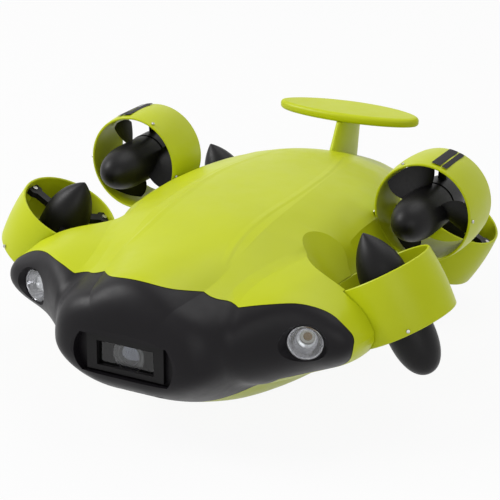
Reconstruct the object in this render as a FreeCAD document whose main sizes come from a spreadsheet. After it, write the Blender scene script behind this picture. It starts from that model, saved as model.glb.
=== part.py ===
import FreeCAD, Part
import math
import os
import Sketcher

V = FreeCAD.Vector
Rotation = FreeCAD.Rotation
Placement = FreeCAD.Placement

doc = FreeCAD.newDocument("inspection_rov")
sheet = doc.addObject("Spreadsheet::Sheet", "Sizes")

# Driving dimensions in millimetres and degrees: alias, value, meaning.
DRIVING = [
    ("hull_length", 383, "nose to tail"),
    ("hull_half_width", 95, "centre line to the widest point of the flank"),
    ("hull_height", 117, "belly to the two top creases"),
    ("hull_wall", 3, "thickness of the moulded shells"),
    ("parting_z", 27, "height of the joint between the two shells"),
    ("seam_gap", 0.3, "joint between mask and shells"),
    ("arm_reach", 127.5, "centre line to the outer end of a headlight lobe"),
    ("arm_blend", 16, "radius between hull and arms"),
    ("lobe_x", 90, "centre of a headlight lobe"),
    ("lobe_z", 66, "height of a headlight lobe"),
    ("lobe_half_width", 34, "half width of a cheek"),
    ("lobe_half_height", 29, "half height of a cheek"),
    ("mask_back_y", -119, "inner end of the mask"),
    ("window_z", 56.5, "height of the camera axis"),
    ("window_half_width", 20, "glass, half width"),
    ("window_half_height", 8, "glass, half height"),
    ("window_thickness", 2.5, "glass"),
    ("recess_half_width", 35, "camera recess at its middle"),
    ("recess_half_height", 13, "camera recess"),
    ("recess_depth", 6, "camera recess below the nose"),
    ("bezel_half_width", 27, "frame round the glass"),
    ("bezel_half_height", 11.4, "frame round the glass"),
    ("slot_count", 6, "drain slots under the camera"),
    ("slot_pitch", 7.5, "drain slots under the camera"),
    ("slot_length", 5, "drain slots under the camera"),
    ("slot_width", 2, "drain slots under the camera"),
    ("lamp_x", 96.8, "headlight centre"),
    ("lamp_y", -139, "headlight rim"),
    ("lamp_z", 67.8, "headlight centre"),
    ("lamp_yaw", 17, "headlights splay outwards"),
    ("lamp_radius", 11, "reflector mouth"),
    ("lamp_depth", 9, "reflector"),
    ("duct_bore", 32.4, "radius of a thruster duct"),
    ("duct_wall", 2.9, "thruster duct"),
    ("duct_length", 40, "thruster duct"),
    ("duct_fit", 0.3, "gap between a duct and the hull round it"),
    ("pod_radius", 15.8, "motor pod"),
    ("pod_nose", 24.6, "how far the pointed cone stands out of the duct"),
    ("pod_length", 20, "duct rim to the back of the pod"),
    ("pod_wall", 1.8, "motor pod"),
    ("strut_width", 6, "pod struts"),
    ("strut_height", 4, "pod struts"),
    ("strut_depth", 5, "pod struts below the duct rim"),
    ("strut_count", 3, "pod struts"),
    ("pad_half_width", 5, "screwed feet of the struts"),
    ("hub_radius", 15.4, "propeller hub"),
    ("hub_gap", 0.6, "propeller hub to pod"),
    ("hub_length", 53, "propeller hub with its dome"),
    ("blade_count", 3, "propeller"),
    ("blade_clearance", 1.4, "blade tips to duct"),
    ("blade_root_chord", 22, "propeller"),
    ("blade_mid_chord", 33, "propeller"),
    ("blade_tip_chord", 30, "propeller"),
    ("blade_root_pitch", 48, "propeller"),
    ("blade_mid_pitch", 34, "propeller"),
    ("blade_tip_pitch", 27, "propeller"),
    ("blade_thickness", 2.4, "propeller"),
    ("blade_drop", 11, "blade centre below the hub's front face"),
    ("shaft_radius", 2, "motor shaft"),
    ("shaft_fit", 0.05, "running clearance of the shaft"),
    ("rotor_radius", 6, "magnet drum on the shaft"),
    ("rotor_gap", 0.6, "magnet drum to windings"),
    ("bearing_radius", 4, "shaft bush"),
    ("bearing_length", 4, "shaft bush"),
    ("front_duct_out", 19.8, "front duct centre outside the flank"),
    ("front_duct_y", -70.4, "front duct"),
    ("front_duct_z", 95.7, "front duct's upper rim"),
    ("front_duct_tilt", 30, "upper rim leans inboard"),
    ("side_duct_out", 16.3, "forward thruster centre outside the flank"),
    ("side_duct_y", 6.2, "forward thruster's front rim"),
    ("side_duct_z", 107.7, "forward thruster"),
    ("rear_duct_out", 1.2, "rear duct centre outside the flank"),
    ("rear_duct_y", 116, "rear duct"),
    ("rear_duct_z", 71.3, "rear duct's upper rim"),
    ("rear_duct_tilt", 28, "upper rim leans outboard"),
    ("wing_half_span", 56, "tail handle"),
    ("wing_chord", 38, "tail handle"),
    ("wing_y", 135.5, "middle of the handle's wing"),
    ("wing_z", 129, "middle of the handle's wing"),
    ("wing_thickness", 7, "tail handle"),
    ("stem_thickness", 10, "tail handle"),
    ("housing_length", 150, "pressure housing"),
    ("housing_half_width", 42, "pressure housing"),
    ("housing_height", 62, "pressure housing without lid"),
    ("housing_wall", 3, "pressure housing"),
    ("housing_y", -20, "middle of the pressure housing"),
    ("housing_z", 14, "underside of the pressure housing"),
    ("lid_thickness", 4, "pressure housing"),
    ("seal_radius", 1.2, "cord of the lid seal"),
    ("battery_length", 96, "battery"),
    ("battery_half_width", 34, "battery"),
    ("battery_height", 32, "battery"),
    ("board_length", 88, "control board"),
    ("board_half_width", 32, "control board"),
    ("board_thickness", 1.6, "control board"),
    ("standoff_height", 8, "control board above the battery"),
    ("foam_height", 16, "buoyancy blocks"),
    ("plate_length", 60, "accessory plate"),
    ("plate_half_width", 24, "accessory plate"),
    ("plate_thickness", 4, "accessory plate"),
    ("plate_y", -30, "accessory plate"),
    ("thread_radius", 2.1, "tapped holes of the accessory plate"),
    ("thread_spacing_x", 24, "tapped holes of the accessory plate"),
    ("thread_spacing_y", 36, "tapped holes of the accessory plate"),
    ("socket_radius", 9, "tether socket"),
    ("socket_bore", 6.5, "tether socket"),
    ("socket_depth", 12, "tether socket"),
    ("socket_z", 53, "tether socket"),
    ("lens_radius", 10.7, "camera lens"),
    ("pillar_radius", 5, "screw pillars that join the shells"),
    ("sensor_radius", 6, "depth sensor"),
    ("pin_count", 4, "contacts in the tether socket"),
    ("slip", 0.15, "assembly clearance of pieces that fit in each other"),
]


class Dim:
    """A number together with the sheet expression it comes from."""

    def __init__(self, value, text):
        self.value = float(value)
        self.text = text

    def _join(self, other, sign, value):
        text = other.text if isinstance(other, Dim) else repr(other)
        return Dim(value, "(%s %s %s)" % (self.text, sign, text))

    def __add__(self, other):
        return self._join(other, "+", self.value + number(other))

    def __sub__(self, other):
        return self._join(other, "-", self.value - number(other))

    def __mul__(self, other):
        return self._join(other, "*", self.value * number(other))

    def __truediv__(self, other):
        return self._join(other, "/", self.value / number(other))

    def __neg__(self):
        return Dim(-self.value, "(-1 * %s)" % self.text)

    def __radd__(self, other):
        return self + other

    def __rmul__(self, other):
        return self * other

    def __rsub__(self, other):
        return -self + other


def number(item):
    return item.value if isinstance(item, Dim) else float(item)


def sine(angle):
    return Dim(math.sin(math.radians(angle.value)), "sin(%s)" % angle.text)


def cosine(angle):
    return Dim(math.cos(math.radians(angle.value)), "cos(%s)" % angle.text)


sizes = {}
for row, (alias, value, meaning) in enumerate(DRIVING, start=1):
    sheet.set("A%d" % row, alias)
    sheet.set("B%d" % row, str(value))
    sheet.set("C%d" % row, meaning)
    sheet.setAlias("B%d" % row, alias)
    sizes[alias] = Dim(value, "Sizes." + alias)
doc.recompute()


class Size:
    """Gives every driving dimension as an attribute."""

    def __getattr__(self, name):
        return sizes[name]


s = Size()
parts = []


def keep(obj, name):
    obj.Label = name
    parts.append(obj)
    return obj


def bind(obj, prop, item):
    if isinstance(item, Dim):
        obj.setExpression(prop, item.text)


def place(obj, x=0, y=0, z=0, axis=(0, 0, 1), angle=0):
    obj.Placement = Placement(V(number(x), number(y), number(z)), Rotation(V(*axis), number(angle)))
    bind(obj, "Placement.Base.x", x)
    bind(obj, "Placement.Base.y", y)
    bind(obj, "Placement.Base.z", z)
    bind(obj, "Placement.Rotation.Angle", angle)
    return obj


def primitive(kind, name, **props):
    obj = doc.addObject("Part::" + kind, name)
    for prop, item in props.items():
        setattr(obj, prop, number(item))
        bind(obj, prop, item)
    return obj


def box(name, x, y, z, low_x, low_y, low_z):
    return place(primitive("Box", name, Length=x, Width=y, Height=z), low_x, low_y, low_z)


def cut(name, base, *tools):
    obj = doc.addObject("Part::Cut", name)
    obj.Base = base
    obj.Tool = tools[0] if len(tools) == 1 else fuse(name + "_tools", *tools)
    return obj


def fuse(name, *shapes):
    obj = doc.addObject("Part::MultiFuse", name)
    obj.Shapes = list(shapes)
    return obj


def common(name, base, tool):
    obj = doc.addObject("Part::Common", name)
    obj.Base = base
    obj.Tool = tool
    return obj


# --- PartDesign helpers -------------------------------------------------------------------

def origin_plane(body, role):
    return [feature for feature in body.Origin.OriginFeatures if feature.Role == role][0]


def sketch_on(body, name, role, offset=None, turn=None):
    sk = body.newObject("Sketcher::SketchObject", name)
    sk.AttachmentSupport = (origin_plane(body, role), [""])
    sk.MapMode = "FlatFace"
    if offset is not None:
        sk.AttachmentOffset = Placement(V(0, 0, number(offset)), Rotation(V(0, 0, 1), number(turn or 0)))
        bind(sk, "AttachmentOffset.Base.z", offset)
        bind(sk, "AttachmentOffset.Rotation.Angle", turn)
    return sk


def fix_point(sk, geometry, end, x, y):
    for kind, item in (("DistanceX", x), ("DistanceY", y)):
        index = sk.addConstraint(Sketcher.Constraint(kind, -1, 1, geometry, end, number(item)))
        if isinstance(item, Dim):
            sk.setExpression("Constraints[%d]" % index, item.text)


def polygon(sk, points):
    count = len(points)
    ends = [V(number(x), number(y), 0) for x, y in points]
    first = sk.GeometryCount
    for i in range(count):
        sk.addGeometry(Part.LineSegment(ends[i], ends[(i + 1) % count]), False)
    for i in range(count):
        after = first + (i + 1) % count
        sk.addConstraint(Sketcher.Constraint("Coincident", first + i, 2, after, 1))
        fix_point(sk, first + i, 1, *points[i])


def circle(sk, x, y, radius):
    index = sk.addGeometry(Part.Circle(V(number(x), number(y), 0), V(0, 0, 1), number(radius)), False)
    fix_point(sk, index, 3, x, y)
    fix_radius(sk, index, radius)


def fix_radius(sk, geometry, radius):
    index = sk.addConstraint(Sketcher.Constraint("Radius", geometry, number(radius)))
    bind(sk, "Constraints[%d]" % index, radius)


def bezier_edge(poles):
    curve = Part.BSplineCurve()
    curve.buildFromPolesMultsKnots([V(number(x), number(y), 0) for x, y in poles], [4, 4], [0, 1], False, 3)
    return curve


def feature(body, kind, name, sk=None, **props):
    obj = body.newObject("PartDesign::" + kind, name)
    if sk is not None:
        obj.Profile = sk
    for prop, item in props.items():
        if isinstance(item, Dim):
            setattr(obj, prop, item.value)
            bind(obj, prop, item)
        else:
            setattr(obj, prop, item)
    return obj


def revolve(body, name, sk, kind="Revolution"):
    return feature(body, kind, name, sk, ReferenceAxis=(sk, ["V_Axis"]), Angle=360.0)


def polar(body, name, source, count):
    pattern = body.newObject("PartDesign::PolarPattern", name)
    pattern.Originals = [source]
    axis = [item for item in body.Origin.OriginFeatures if item.Role == "Z_Axis"][0]
    pattern.Axis = (axis, [""])
    pattern.Angle = 360.0
    pattern.Occurrences = int(count.value)
    bind(pattern, "Occurrences", count)
    body.Tip = pattern
    return pattern


def new_body(name):
    body = doc.addObject("PartDesign::Body", name)
    return body


def root(item):
    return Dim(math.sqrt(item.value), "sqrt(%s)" % item.text)


# --- Thrusters ----------------------------------------------------------------------------
# Each is drawn about its own Z axis: the rim beside the pointed cone lies at z = 0, the
# propeller and its dome point down. The pod, the ducts and the hull pockets share these sizes.

class Thruster:
    def __init__(self, name, side, centre, normal, axis, angle, strut_turn, blade_turn):
        self.name = name
        self.side = side
        self.centre = centre
        self.normal = normal
        self.axis = axis
        self.angle = angle
        self.strut_turn = strut_turn
        self.blade_turn = blade_turn

    def at(self, distance):
        """The point on the axis this far beyond the duct's rim, towards the cone."""
        return [c + n * distance if isinstance(n, Dim) or n else c
                for c, n in zip(self.centre, self.normal)]

    def put(self, obj, distance=0.0):
        x, y, z = self.at(distance) if number(distance) else self.centre
        return place(obj, x, y, z, self.axis, self.angle)


def thruster_set():
    found = []
    front_tilt, rear_tilt = s.front_duct_tilt, s.rear_duct_tilt
    for side, word in ((1, "port"), (-1, "starboard")):
        front_x = (s.hull_half_width + s.front_duct_out) * side
        rear_x = (s.hull_half_width + s.rear_duct_out) * side
        side_x = (s.hull_half_width + s.side_duct_out) * side
        found.append(Thruster("front_" + word, side, (front_x, s.front_duct_y, s.front_duct_z),
                              (sine(front_tilt) * -side, 0, cosine(front_tilt)),
                              (0, 1, 0), front_tilt * -side, 90 + 30 * side, 30))
        found.append(Thruster("side_" + word, side, (side_x, s.side_duct_y + s.duct_length, s.side_duct_z),
                              (0, 1, 0), (1, 0, 0), -90, 90 - 55 * side, 90 - 35 * side))
        found.append(Thruster("rear_" + word, side, (rear_x, s.rear_duct_y, s.rear_duct_z),
                              (sine(rear_tilt) * side, 0, cosine(rear_tilt)),
                              (0, 1, 0), rear_tilt * side, 90 + 30 * side, 30))
    return found


duct_outer = s.duct_bore + s.duct_wall
duct_bulge = 1.2
strut_low = -(s.strut_depth + s.strut_height)
lug_height = 5
hub_top = -(s.pod_length + s.hub_gap)
blade_tip_radius = s.duct_bore - s.blade_clearance
bush_fit = 0.03
screw_circle = s.duct_bore - 2.4
screw_radius = 0.9
pod_cavity_top = -3


def rounded_edges(body, base, radius, wanted):
    doc.recompute()
    names = ["Edge%d" % (i + 1) for i, edge in enumerate(base.Shape.Edges) if wanted(edge)]
    fillet = body.newObject("PartDesign::Fillet", base.Name + "_round")
    fillet.Base = (base, names)
    fillet.Radius = number(radius)
    bind(fillet, "Radius", radius)
    body.Tip = fillet
    return fillet


def duct(t):
    body = new_body(t.name + "_duct")
    sk = sketch_on(body, t.name + "_duct_profile", "XZ_Plane")
    lip, low, rim = 0.5, -s.duct_length, duct_outer - duct_bulge
    half = s.duct_length / 2.0 - lip
    radius = (half * half + duct_bulge * duct_bulge) / (duct_bulge * 2.0)
    # bore, lower rim, then the barrel-shaped outside and the upper rim, all corners broken
    path = [(s.duct_bore, -lip), (s.duct_bore, low + lip), (s.duct_bore + lip, low), (rim - lip, low),
            (rim, low + lip), (rim, -lip), (rim - lip, 0.0), (s.duct_bore + lip, 0.0)]
    ends = [V(number(x), number(y), 0) for x, y in path]
    barrel_edge = 4
    for i, end in enumerate(ends):
        after = ends[(i + 1) % len(ends)]
        if i == barrel_edge:
            sk.addGeometry(Part.Arc(end, V(duct_outer.value, low.value / 2.0, 0), after), False)
        else:
            sk.addGeometry(Part.LineSegment(end, after), False)
            fix_point(sk, i, 1, *path[i])
    for i in range(len(ends)):
        if i != barrel_edge and (i + 1) % len(ends) != barrel_edge:
            sk.addConstraint(Sketcher.Constraint("Coincident", i, 2, (i + 1) % len(ends), 1))
    fix_point(sk, barrel_edge - 1, 2, *path[barrel_edge])
    sk.addConstraint(Sketcher.Constraint("Coincident", barrel_edge - 1, 2, barrel_edge, 1))
    sk.addConstraint(Sketcher.Constraint("Coincident", barrel_edge, 2, barrel_edge + 1, 1))
    fix_radius(sk, barrel_edge, radius)
    revolve(body, t.name + "_duct_ring", sk)
    # lugs under the feet of the struts, each with a screw hole
    lug = sketch_on(body, t.name + "_lug_outline", "XY_Plane", strut_low - lug_height, t.strut_turn)
    reach = s.duct_bore + 0.9
    polygon(lug, [(s.duct_bore - 4.4, -(s.pad_half_width - 1.4)), (reach, -(s.pad_half_width - 1.4)),
                  (reach, s.pad_half_width - 1.4), (s.duct_bore - 4.4, s.pad_half_width - 1.4)])
    lugs = polar(body, t.name + "_lugs", feature(body, "Pad", t.name + "_lug", lug, Length=lug_height),
                 s.strut_count)
    hole = sketch_on(body, t.name + "_lug_hole_place", "XY_Plane", strut_low, t.strut_turn)
    circle(hole, screw_circle, 0.0, screw_radius + 0.05)
    drill = feature(body, "Pocket", t.name + "_lug_hole", hole, Length=lug_height - 1.0)
    polar(body, t.name + "_lug_holes", drill, s.strut_count)
    return keep(t.put(body), t.name + "_duct")


def motor_pod(t):
    body = new_body(t.name + "_pod")
    sk = sketch_on(body, t.name + "_pod_profile", "XZ_Plane")
    shoulder = -8.0
    cone = s.pod_nose - shoulder
    inner = s.pod_radius - s.pod_wall
    back = -s.pod_length
    seat_top = pod_cavity_top + s.bearing_length
    bush = s.bearing_radius + bush_fit
    tip = 0.5
    path = [(tip, s.pod_nose), (0.0, s.pod_nose), (0.0, seat_top), (bush, seat_top), (bush, pod_cavity_top),
            (inner, pod_cavity_top), (inner, back), (s.pod_radius, back), (s.pod_radius, shoulder)]
    ends = [V(number(x), number(y), 0) for x, y in path]
    for i in range(len(path) - 1):
        sk.addGeometry(Part.LineSegment(ends[i], ends[i + 1]), False)
    wide, high = s.pod_radius.value, cone.value
    sk.addGeometry(bezier_edge([(wide, shoulder), (wide, shoulder + high * 0.39),
                                (wide * 0.63, shoulder + high * 0.76), (tip, s.pod_nose)]), False)
    for i, (x, y) in enumerate(path[:-1]):
        fix_point(sk, i, 1, x, y)
        if i:
            sk.addConstraint(Sketcher.Constraint("Coincident", i - 1, 2, i, 1))
    last = len(path) - 1
    fix_point(sk, last - 1, 2, s.pod_radius, shoulder)
    revolve(body, t.name + "_pod_shell", sk)
    # three struts that end in screwed feet, fitted to the bore
    arm = sketch_on(body, t.name + "_strut_outline", "XY_Plane", strut_low, t.strut_turn)
    half = s.strut_width / 2.0
    start = s.pod_radius - 1.0
    neck = s.duct_bore - 7.0
    foot = s.duct_bore - s.slip
    wide = s.pad_half_width
    outer_x = root(foot * foot - wide * wide)
    line = [(outer_x, wide), (neck + 2.4, wide), (neck, half), (start, half),
            (start, -half), (neck, -half), (neck + 2.4, -wide), (outer_x, -wide)]
    ends = [V(number(x), number(y), 0) for x, y in line]
    for i in range(len(line) - 1):
        arm.addGeometry(Part.LineSegment(ends[i], ends[i + 1]), False)
    edge = math.atan2(wide.value, outer_x.value)
    arm.addGeometry(Part.ArcOfCircle(Part.Circle(V(0, 0, 0), V(0, 0, 1), foot.value), -edge, edge), False)
    for i, (x, y) in enumerate(line[:-1]):
        fix_point(arm, i, 1, x, y)
        if i:
            arm.addConstraint(Sketcher.Constraint("Coincident", i - 1, 2, i, 1))
    fix_point(arm, len(line) - 2, 2, outer_x, -wide)
    arm.addConstraint(Sketcher.Constraint("Coincident", len(line) - 1, 1, len(line) - 2, 2))
    arm.addConstraint(Sketcher.Constraint("Coincident", len(line) - 1, 2, 0, 1))
    fix_radius(arm, len(line) - 1, foot)
    strut = feature(body, "Pad", t.name + "_strut", arm, Length=s.strut_height)
    polar(body, t.name + "_struts", strut, s.strut_count)
    hole = sketch_on(body, t.name + "_foot_hole_place", "XY_Plane", strut_low + s.strut_height,
                     t.strut_turn)
    circle(hole, screw_circle, 0.0, screw_radius + 0.1)
    drill = feature(body, "Pocket", t.name + "_foot_hole", hole, Length=s.strut_height + 0.5)
    polar(body, t.name + "_foot_holes", drill, s.strut_count)
    return keep(t.put(body), t.name + "_pod")


def motor_windings(t):
    body = new_body(t.name + "_windings")
    sk = sketch_on(body, t.name + "_windings_profile", "XZ_Plane")
    outer = s.pod_radius - s.pod_wall - s.slip
    bore = s.rotor_radius + s.rotor_gap
    bush = s.bearing_radius + bush_fit
    low = -(s.pod_length - 1.0)
    step = low + s.bearing_length
    polygon(sk, [(outer, pod_cavity_top - 0.2), (outer, low), (bush, low), (bush, step),
                 (bore, step), (bore, pod_cavity_top - 0.2)])
    revolve(body, t.name + "_windings_core", sk)
    return keep(t.put(body), t.name + "_windings")


def motor_shaft(t):
    body = new_body(t.name + "_shaft")
    sk = sketch_on(body, t.name + "_shaft_profile", "XZ_Plane")
    drum_top = pod_cavity_top - 1.2
    drum_low = -(s.pod_length - 1.0) + s.bearing_length + 1.0
    top = pod_cavity_top + s.bearing_length - 0.6
    low = hub_top - 13.0
    polygon(sk, [(0.0, top), (0.0, low), (s.shaft_radius, low), (s.shaft_radius, drum_low),
                 (s.rotor_radius, drum_low), (s.rotor_radius, drum_top), (s.shaft_radius, drum_top),
                 (s.shaft_radius, top)])
    revolve(body, t.name + "_shaft_turned", sk)
    return keep(t.put(body), t.name + "_shaft")


def blade_section(body, name, distance, chord, pitch, lead, hand):
    """A lens-shaped section across the blade, square to its radius."""
    sk = sketch_on(body, name, "YZ_Plane", distance)
    half = chord.value / 2.0
    run = math.cos(math.radians(pitch.value))
    rise = math.sin(math.radians(pitch.value)) * hand
    middle = hub_top.value - s.blade_drop.value

    def at(along, across):
        x = lead + along * half * run - across * rise
        y = along * half * rise + across * run
        return (x, middle + y)

    bulge = s.blade_thickness.value * 2.0 / 3.0
    for sign in (1.0, -1.0):
        poles = [at(-sign, 0), at(-0.4 * sign, bulge * sign), at(0.4 * sign, bulge * sign), at(sign, 0)]
        sk.addGeometry(bezier_edge(poles), False)
    return sk


def propeller(t, hand):
    body = new_body(t.name + "_propeller")
    sk = sketch_on(body, t.name + "_hub_profile", "XZ_Plane")
    bore = s.shaft_radius + s.shaft_fit
    dome = hub_top - s.hub_length * 0.45
    low = hub_top - s.hub_length
    deep = hub_top - 13.6
    path = [(0.0, low), (0.0, deep), (bore, deep), (bore, hub_top), (s.hub_radius - 0.8, hub_top),
            (s.hub_radius, hub_top - 0.8), (s.hub_radius, dome)]
    ends = [V(number(x), number(y), 0) for x, y in path]
    for i in range(len(path) - 1):
        sk.addGeometry(Part.LineSegment(ends[i], ends[i + 1]), False)
        fix_point(sk, i, 1, *path[i])
        if i:
            sk.addConstraint(Sketcher.Constraint("Coincident", i - 1, 2, i, 1))
    depth = dome.value - low.value
    wide = s.hub_radius.value
    sk.addGeometry(bezier_edge([(wide, dome.value), (wide, dome.value - depth * 0.6),
                                (wide * 0.62, low.value), (0, low.value)]), False)
    revolve(body, t.name + "_hub", sk)
    inner = s.hub_radius - 2.6
    middle = (s.hub_radius + blade_tip_radius) / 2.0
    sections = [blade_section(body, t.name + "_blade_root", inner, s.blade_root_chord,
                              s.blade_root_pitch, 0.0, hand),
                blade_section(body, t.name + "_blade_middle", middle, s.blade_mid_chord,
                              s.blade_mid_pitch, 0.6, hand),
                blade_section(body, t.name + "_blade_tip", blade_tip_radius + 1.5, s.blade_tip_chord,
                              s.blade_tip_pitch, 2.4, hand)]
    blade = feature(body, "AdditiveLoft", t.name + "_blade", sections[0])
    blade.Sections = sections[1:]
    polar(body, t.name + "_blades", blade, s.blade_count)
    trim = sketch_on(body, t.name + "_tip_trim_profile", "XZ_Plane")
    polygon(trim, [(blade_tip_radius, hub_top + 15.0), (blade_tip_radius + 20.0, hub_top + 15.0),
                   (blade_tip_radius + 20.0, low), (blade_tip_radius, low)])
    revolve(body, t.name + "_tip_trim", trim, "Groove")
    return keep(t.put(body), t.name + "_propeller")


thrusters = thruster_set()
for index, thruster in enumerate(thrusters):
    duct(thruster)
    motor_pod(thruster)
    motor_windings(thruster)
    motor_shaft(thruster)
    propeller(thruster, thruster.side)
doc.recompute()

# --- Hull ---------------------------------------------------------------------------------
# Offsets along the hull, as shares of its length, half width and height: place behind the nose,
# half width, crease out, crease height, centre height, height of the widest point, belly height,
# half width of the flat belly.
STATIONS = [
    (0.000, 0.39, 0.18, 0.62, 0.625, 0.485, 0.375, 0.10),
    (0.008, 0.50, 0.25, 0.70, 0.735, 0.487, 0.320, 0.12),
    (0.027, 0.58, 0.30, 0.765, 0.835, 0.490, 0.270, 0.14),
    (0.051, 0.63, 0.33, 0.785, 0.880, 0.495, 0.225, 0.16),
    (0.085, 0.67, 0.36, 0.80, 0.900, 0.498, 0.172, 0.19),
    (0.125, 0.71, 0.39, 0.825, 0.918, 0.503, 0.122, 0.23),
    (0.187, 0.77, 0.41, 0.885, 0.945, 0.515, 0.060, 0.30),
    (0.265, 0.86, 0.425, 0.955, 0.980, 0.530, 0.018, 0.38),
    (0.370, 0.96, 0.425, 0.990, 1.005, 0.530, -0.006, 0.46),
    (0.474, 1.00, 0.41, 1.000, 1.015, 0.530, -0.006, 0.50),
    (0.605, 0.96, 0.36, 0.985, 1.007, 0.530, -0.004, 0.48),
    (0.709, 0.82, 0.325, 0.945, 0.972, 0.545, -0.004, 0.40),
    (0.813, 0.63, 0.285, 0.842, 0.872, 0.565, 0.030, 0.29),
    (0.892, 0.48, 0.23, 0.752, 0.778, 0.547, 0.110, 0.23),
    (0.957, 0.36, 0.18, 0.658, 0.680, 0.496, 0.222, 0.17),
    (1.000, 0.23, 0.11, 0.573, 0.582, 0.453, 0.325, 0.11),
]
# Arm that carries a headlight lobe, cut across its length: place out as a share of its reach, then
# front, highest place and back as shares of the hull's length behind the nose, top and underside as
# shares of its height, and how full its brow is.
ARM = [
    (0.140, 0.062, 0.270, 0.340, 0.800, 0.28, 0.70),
    (0.340, 0.062, 0.278, 0.340, 0.860, 0.22, 0.70),
    (0.410, 0.060, 0.278, 0.340, 0.880, 0.20, 0.70),
    (0.470, 0.059, 0.278, 0.340, 0.875, 0.20, 0.74),
    (0.550, 0.078, 0.278, 0.340, 0.860, 0.215, 0.84),
    (0.659, 0.108, 0.278, 0.340, 0.840, 0.26, 0.95),
    (0.761, 0.126, 0.278, 0.340, 0.805, 0.31, 0.97),
    (0.847, 0.134, 0.275, 0.335, 0.762, 0.355, 0.94),
    (0.918, 0.143, 0.270, 0.330, 0.715, 0.405, 0.93),
    (0.957, 0.153, 0.262, 0.310, 0.672, 0.450, 0.90),
    (0.984, 0.171, 0.250, 0.285, 0.625, 0.495, 0.85),
    (1.000, 0.200, 0.235, 0.265, 0.580, 0.535, 0.80),
]
nose_y = -s.hull_length / 2.0


def station_sketch(name, poles_list, y):
    sk = doc.addObject("Sketcher::SketchObject", name)
    for poles in poles_list:
        sk.addGeometry(bezier_edge(poles), False)
    return place(sk, 0, y, 0, (1, 0, 0), 90)


def hull_section(name, row, inset):
    along, wide, crease_x, crease_z, top, widest_z, belly_z, belly = row
    out, up = s.hull_half_width.value, s.hull_height.value
    w, zm = wide * out - inset, widest_z * up
    xr, zr, zt = crease_x * out, crease_z * up - inset, top * up - inset
    xb, zb = belly * out - inset * 0.6, belly_z * up + inset
    rise, drop = zr - zm, zm - zb
    shoulder = [(xr, zr), (xr + 0.62 * (w - xr), zr - 0.13 * rise), (w, zm + 0.62 * rise), (w, zm)]
    bilge = [(w, zm), (w, zm - 0.5 * drop), (xb + 0.5 * (w - xb), zb), (xb, zb)]
    crown = zr + (zt - zr) * 4.0 / 3.0

    def flip(poles):
        return [(-x, z) for x, z in reversed(poles)]

    edges = [[(-xr, zr), (-xr * 0.4, crown), (xr * 0.4, crown), (xr, zr)], shoulder, bilge,
             [(xb, zb), (xb * 0.4, zb), (-xb * 0.4, zb), (-xb, zb)], flip(bilge), flip(shoulder)]
    y = nose_y + s.hull_length * along
    return station_sketch(name, edges, y)


def loft(name, sections):
    obj = doc.addObject("Part::Loft", name)
    obj.Sections = sections
    obj.Solid = True
    obj.Ruled = False
    return obj


def hull_loft(name, rows, inset):
    sections = []
    for i, row in enumerate(rows):
        sections.append(hull_section("%s_%d" % (name, i), row, inset))
    return loft(name, sections)


def arm(side, word):
    sections = []
    for i, (out, front, crest, back, top, low, full) in enumerate(ARM):
        sk = doc.addObject("Sketcher::SketchObject", "%s_arm_%d" % (word, i))
        y = [nose_y.value + share * s.hull_length.value for share in (front, crest, back)]
        z = [share * s.hull_height.value for share in (low, (low + top) / 2.0 + 0.02, top)]
        run, back_run, rise, drop = y[1] - y[0], y[2] - y[1], z[2] - z[1], z[1] - z[0]
        brow = [(y[0], z[1]), (y[0], z[1] + full * rise),
                (y[0] + (1.15 - full) * run, z[1] + (full + 0.05) * rise),
                (y[1], z[2])]
        shoulder = [(y[1], z[2]), (y[1] + 0.55 * back_run, z[2]), (y[2], z[1] + 0.55 * rise), (y[2], z[1])]
        keel = [(y[2], z[1]), (y[2], z[1] - 0.55 * drop), (y[1] + 0.45 * back_run, z[0]), (y[1], z[0])]
        chin = [(y[1], z[0]), (y[0] + 0.42 * run, z[0]), (y[0], z[1] - 0.62 * drop), (y[0], z[1])]
        for poles in (brow, shoulder, keel, chin):
            sk.addGeometry(bezier_edge(poles), False)
        sections.append(place(sk, s.arm_reach * (out * side), 0, 0, (1, 1, 1), 120))
    return loft(word + "_arm", sections)


def stem():
    """The leaning stem of the tail handle: two ovals, the lower one below the hull's top."""
    sections = []
    low_z, top_z = s.wing_z - s.wing_thickness / 2.0 - 44.0, s.wing_z - s.wing_thickness / 2.0
    for name, middle, half, thick, z in (("low", -17.0, 29.0, 0.62, low_z), ("top", -0.6, 19.4, 0.5, top_z)):
        sk = doc.addObject("Sketcher::SketchObject", "stem_" + name)
        k, a, b = 0.5523, s.stem_thickness.value * thick, half
        quarter = [[(1, 0), (1, k), (k, 1), (0, 1)], [(0, 1), (-k, 1), (-1, k), (-1, 0)],
                   [(-1, 0), (-1, -k), (-k, -1), (0, -1)], [(0, -1), (k, -1), (1, -k), (1, 0)]]
        for poles in quarter:
            sk.addGeometry(bezier_edge([(x * a, y * b) for x, y in poles]), False)
        sections.append(place(sk, 0, s.wing_y + middle, z))
    return loft("handle_stem", sections)


def thruster_pocket(t, name, extra):
    """What a thruster takes out of the hull: its duct and the free water above and below it."""
    body = new_body(name)
    sk = sketch_on(body, name + "_profile", "XZ_Plane")
    outer = duct_outer + s.duct_fit + extra
    inner = s.duct_bore + extra
    above, below = s.duct_fit + extra, -(s.duct_length + s.duct_fit + extra)
    reach = 46.0
    flare = inner + reach * 0.22
    polygon(sk, [(0.0, reach), (flare, reach), (inner, above), (outer, above), (outer, below),
                 (inner, below), (inner, below - reach), (0.0, below - reach)])
    revolve(body, name + "_room", sk)
    return t.put(body)


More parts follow.
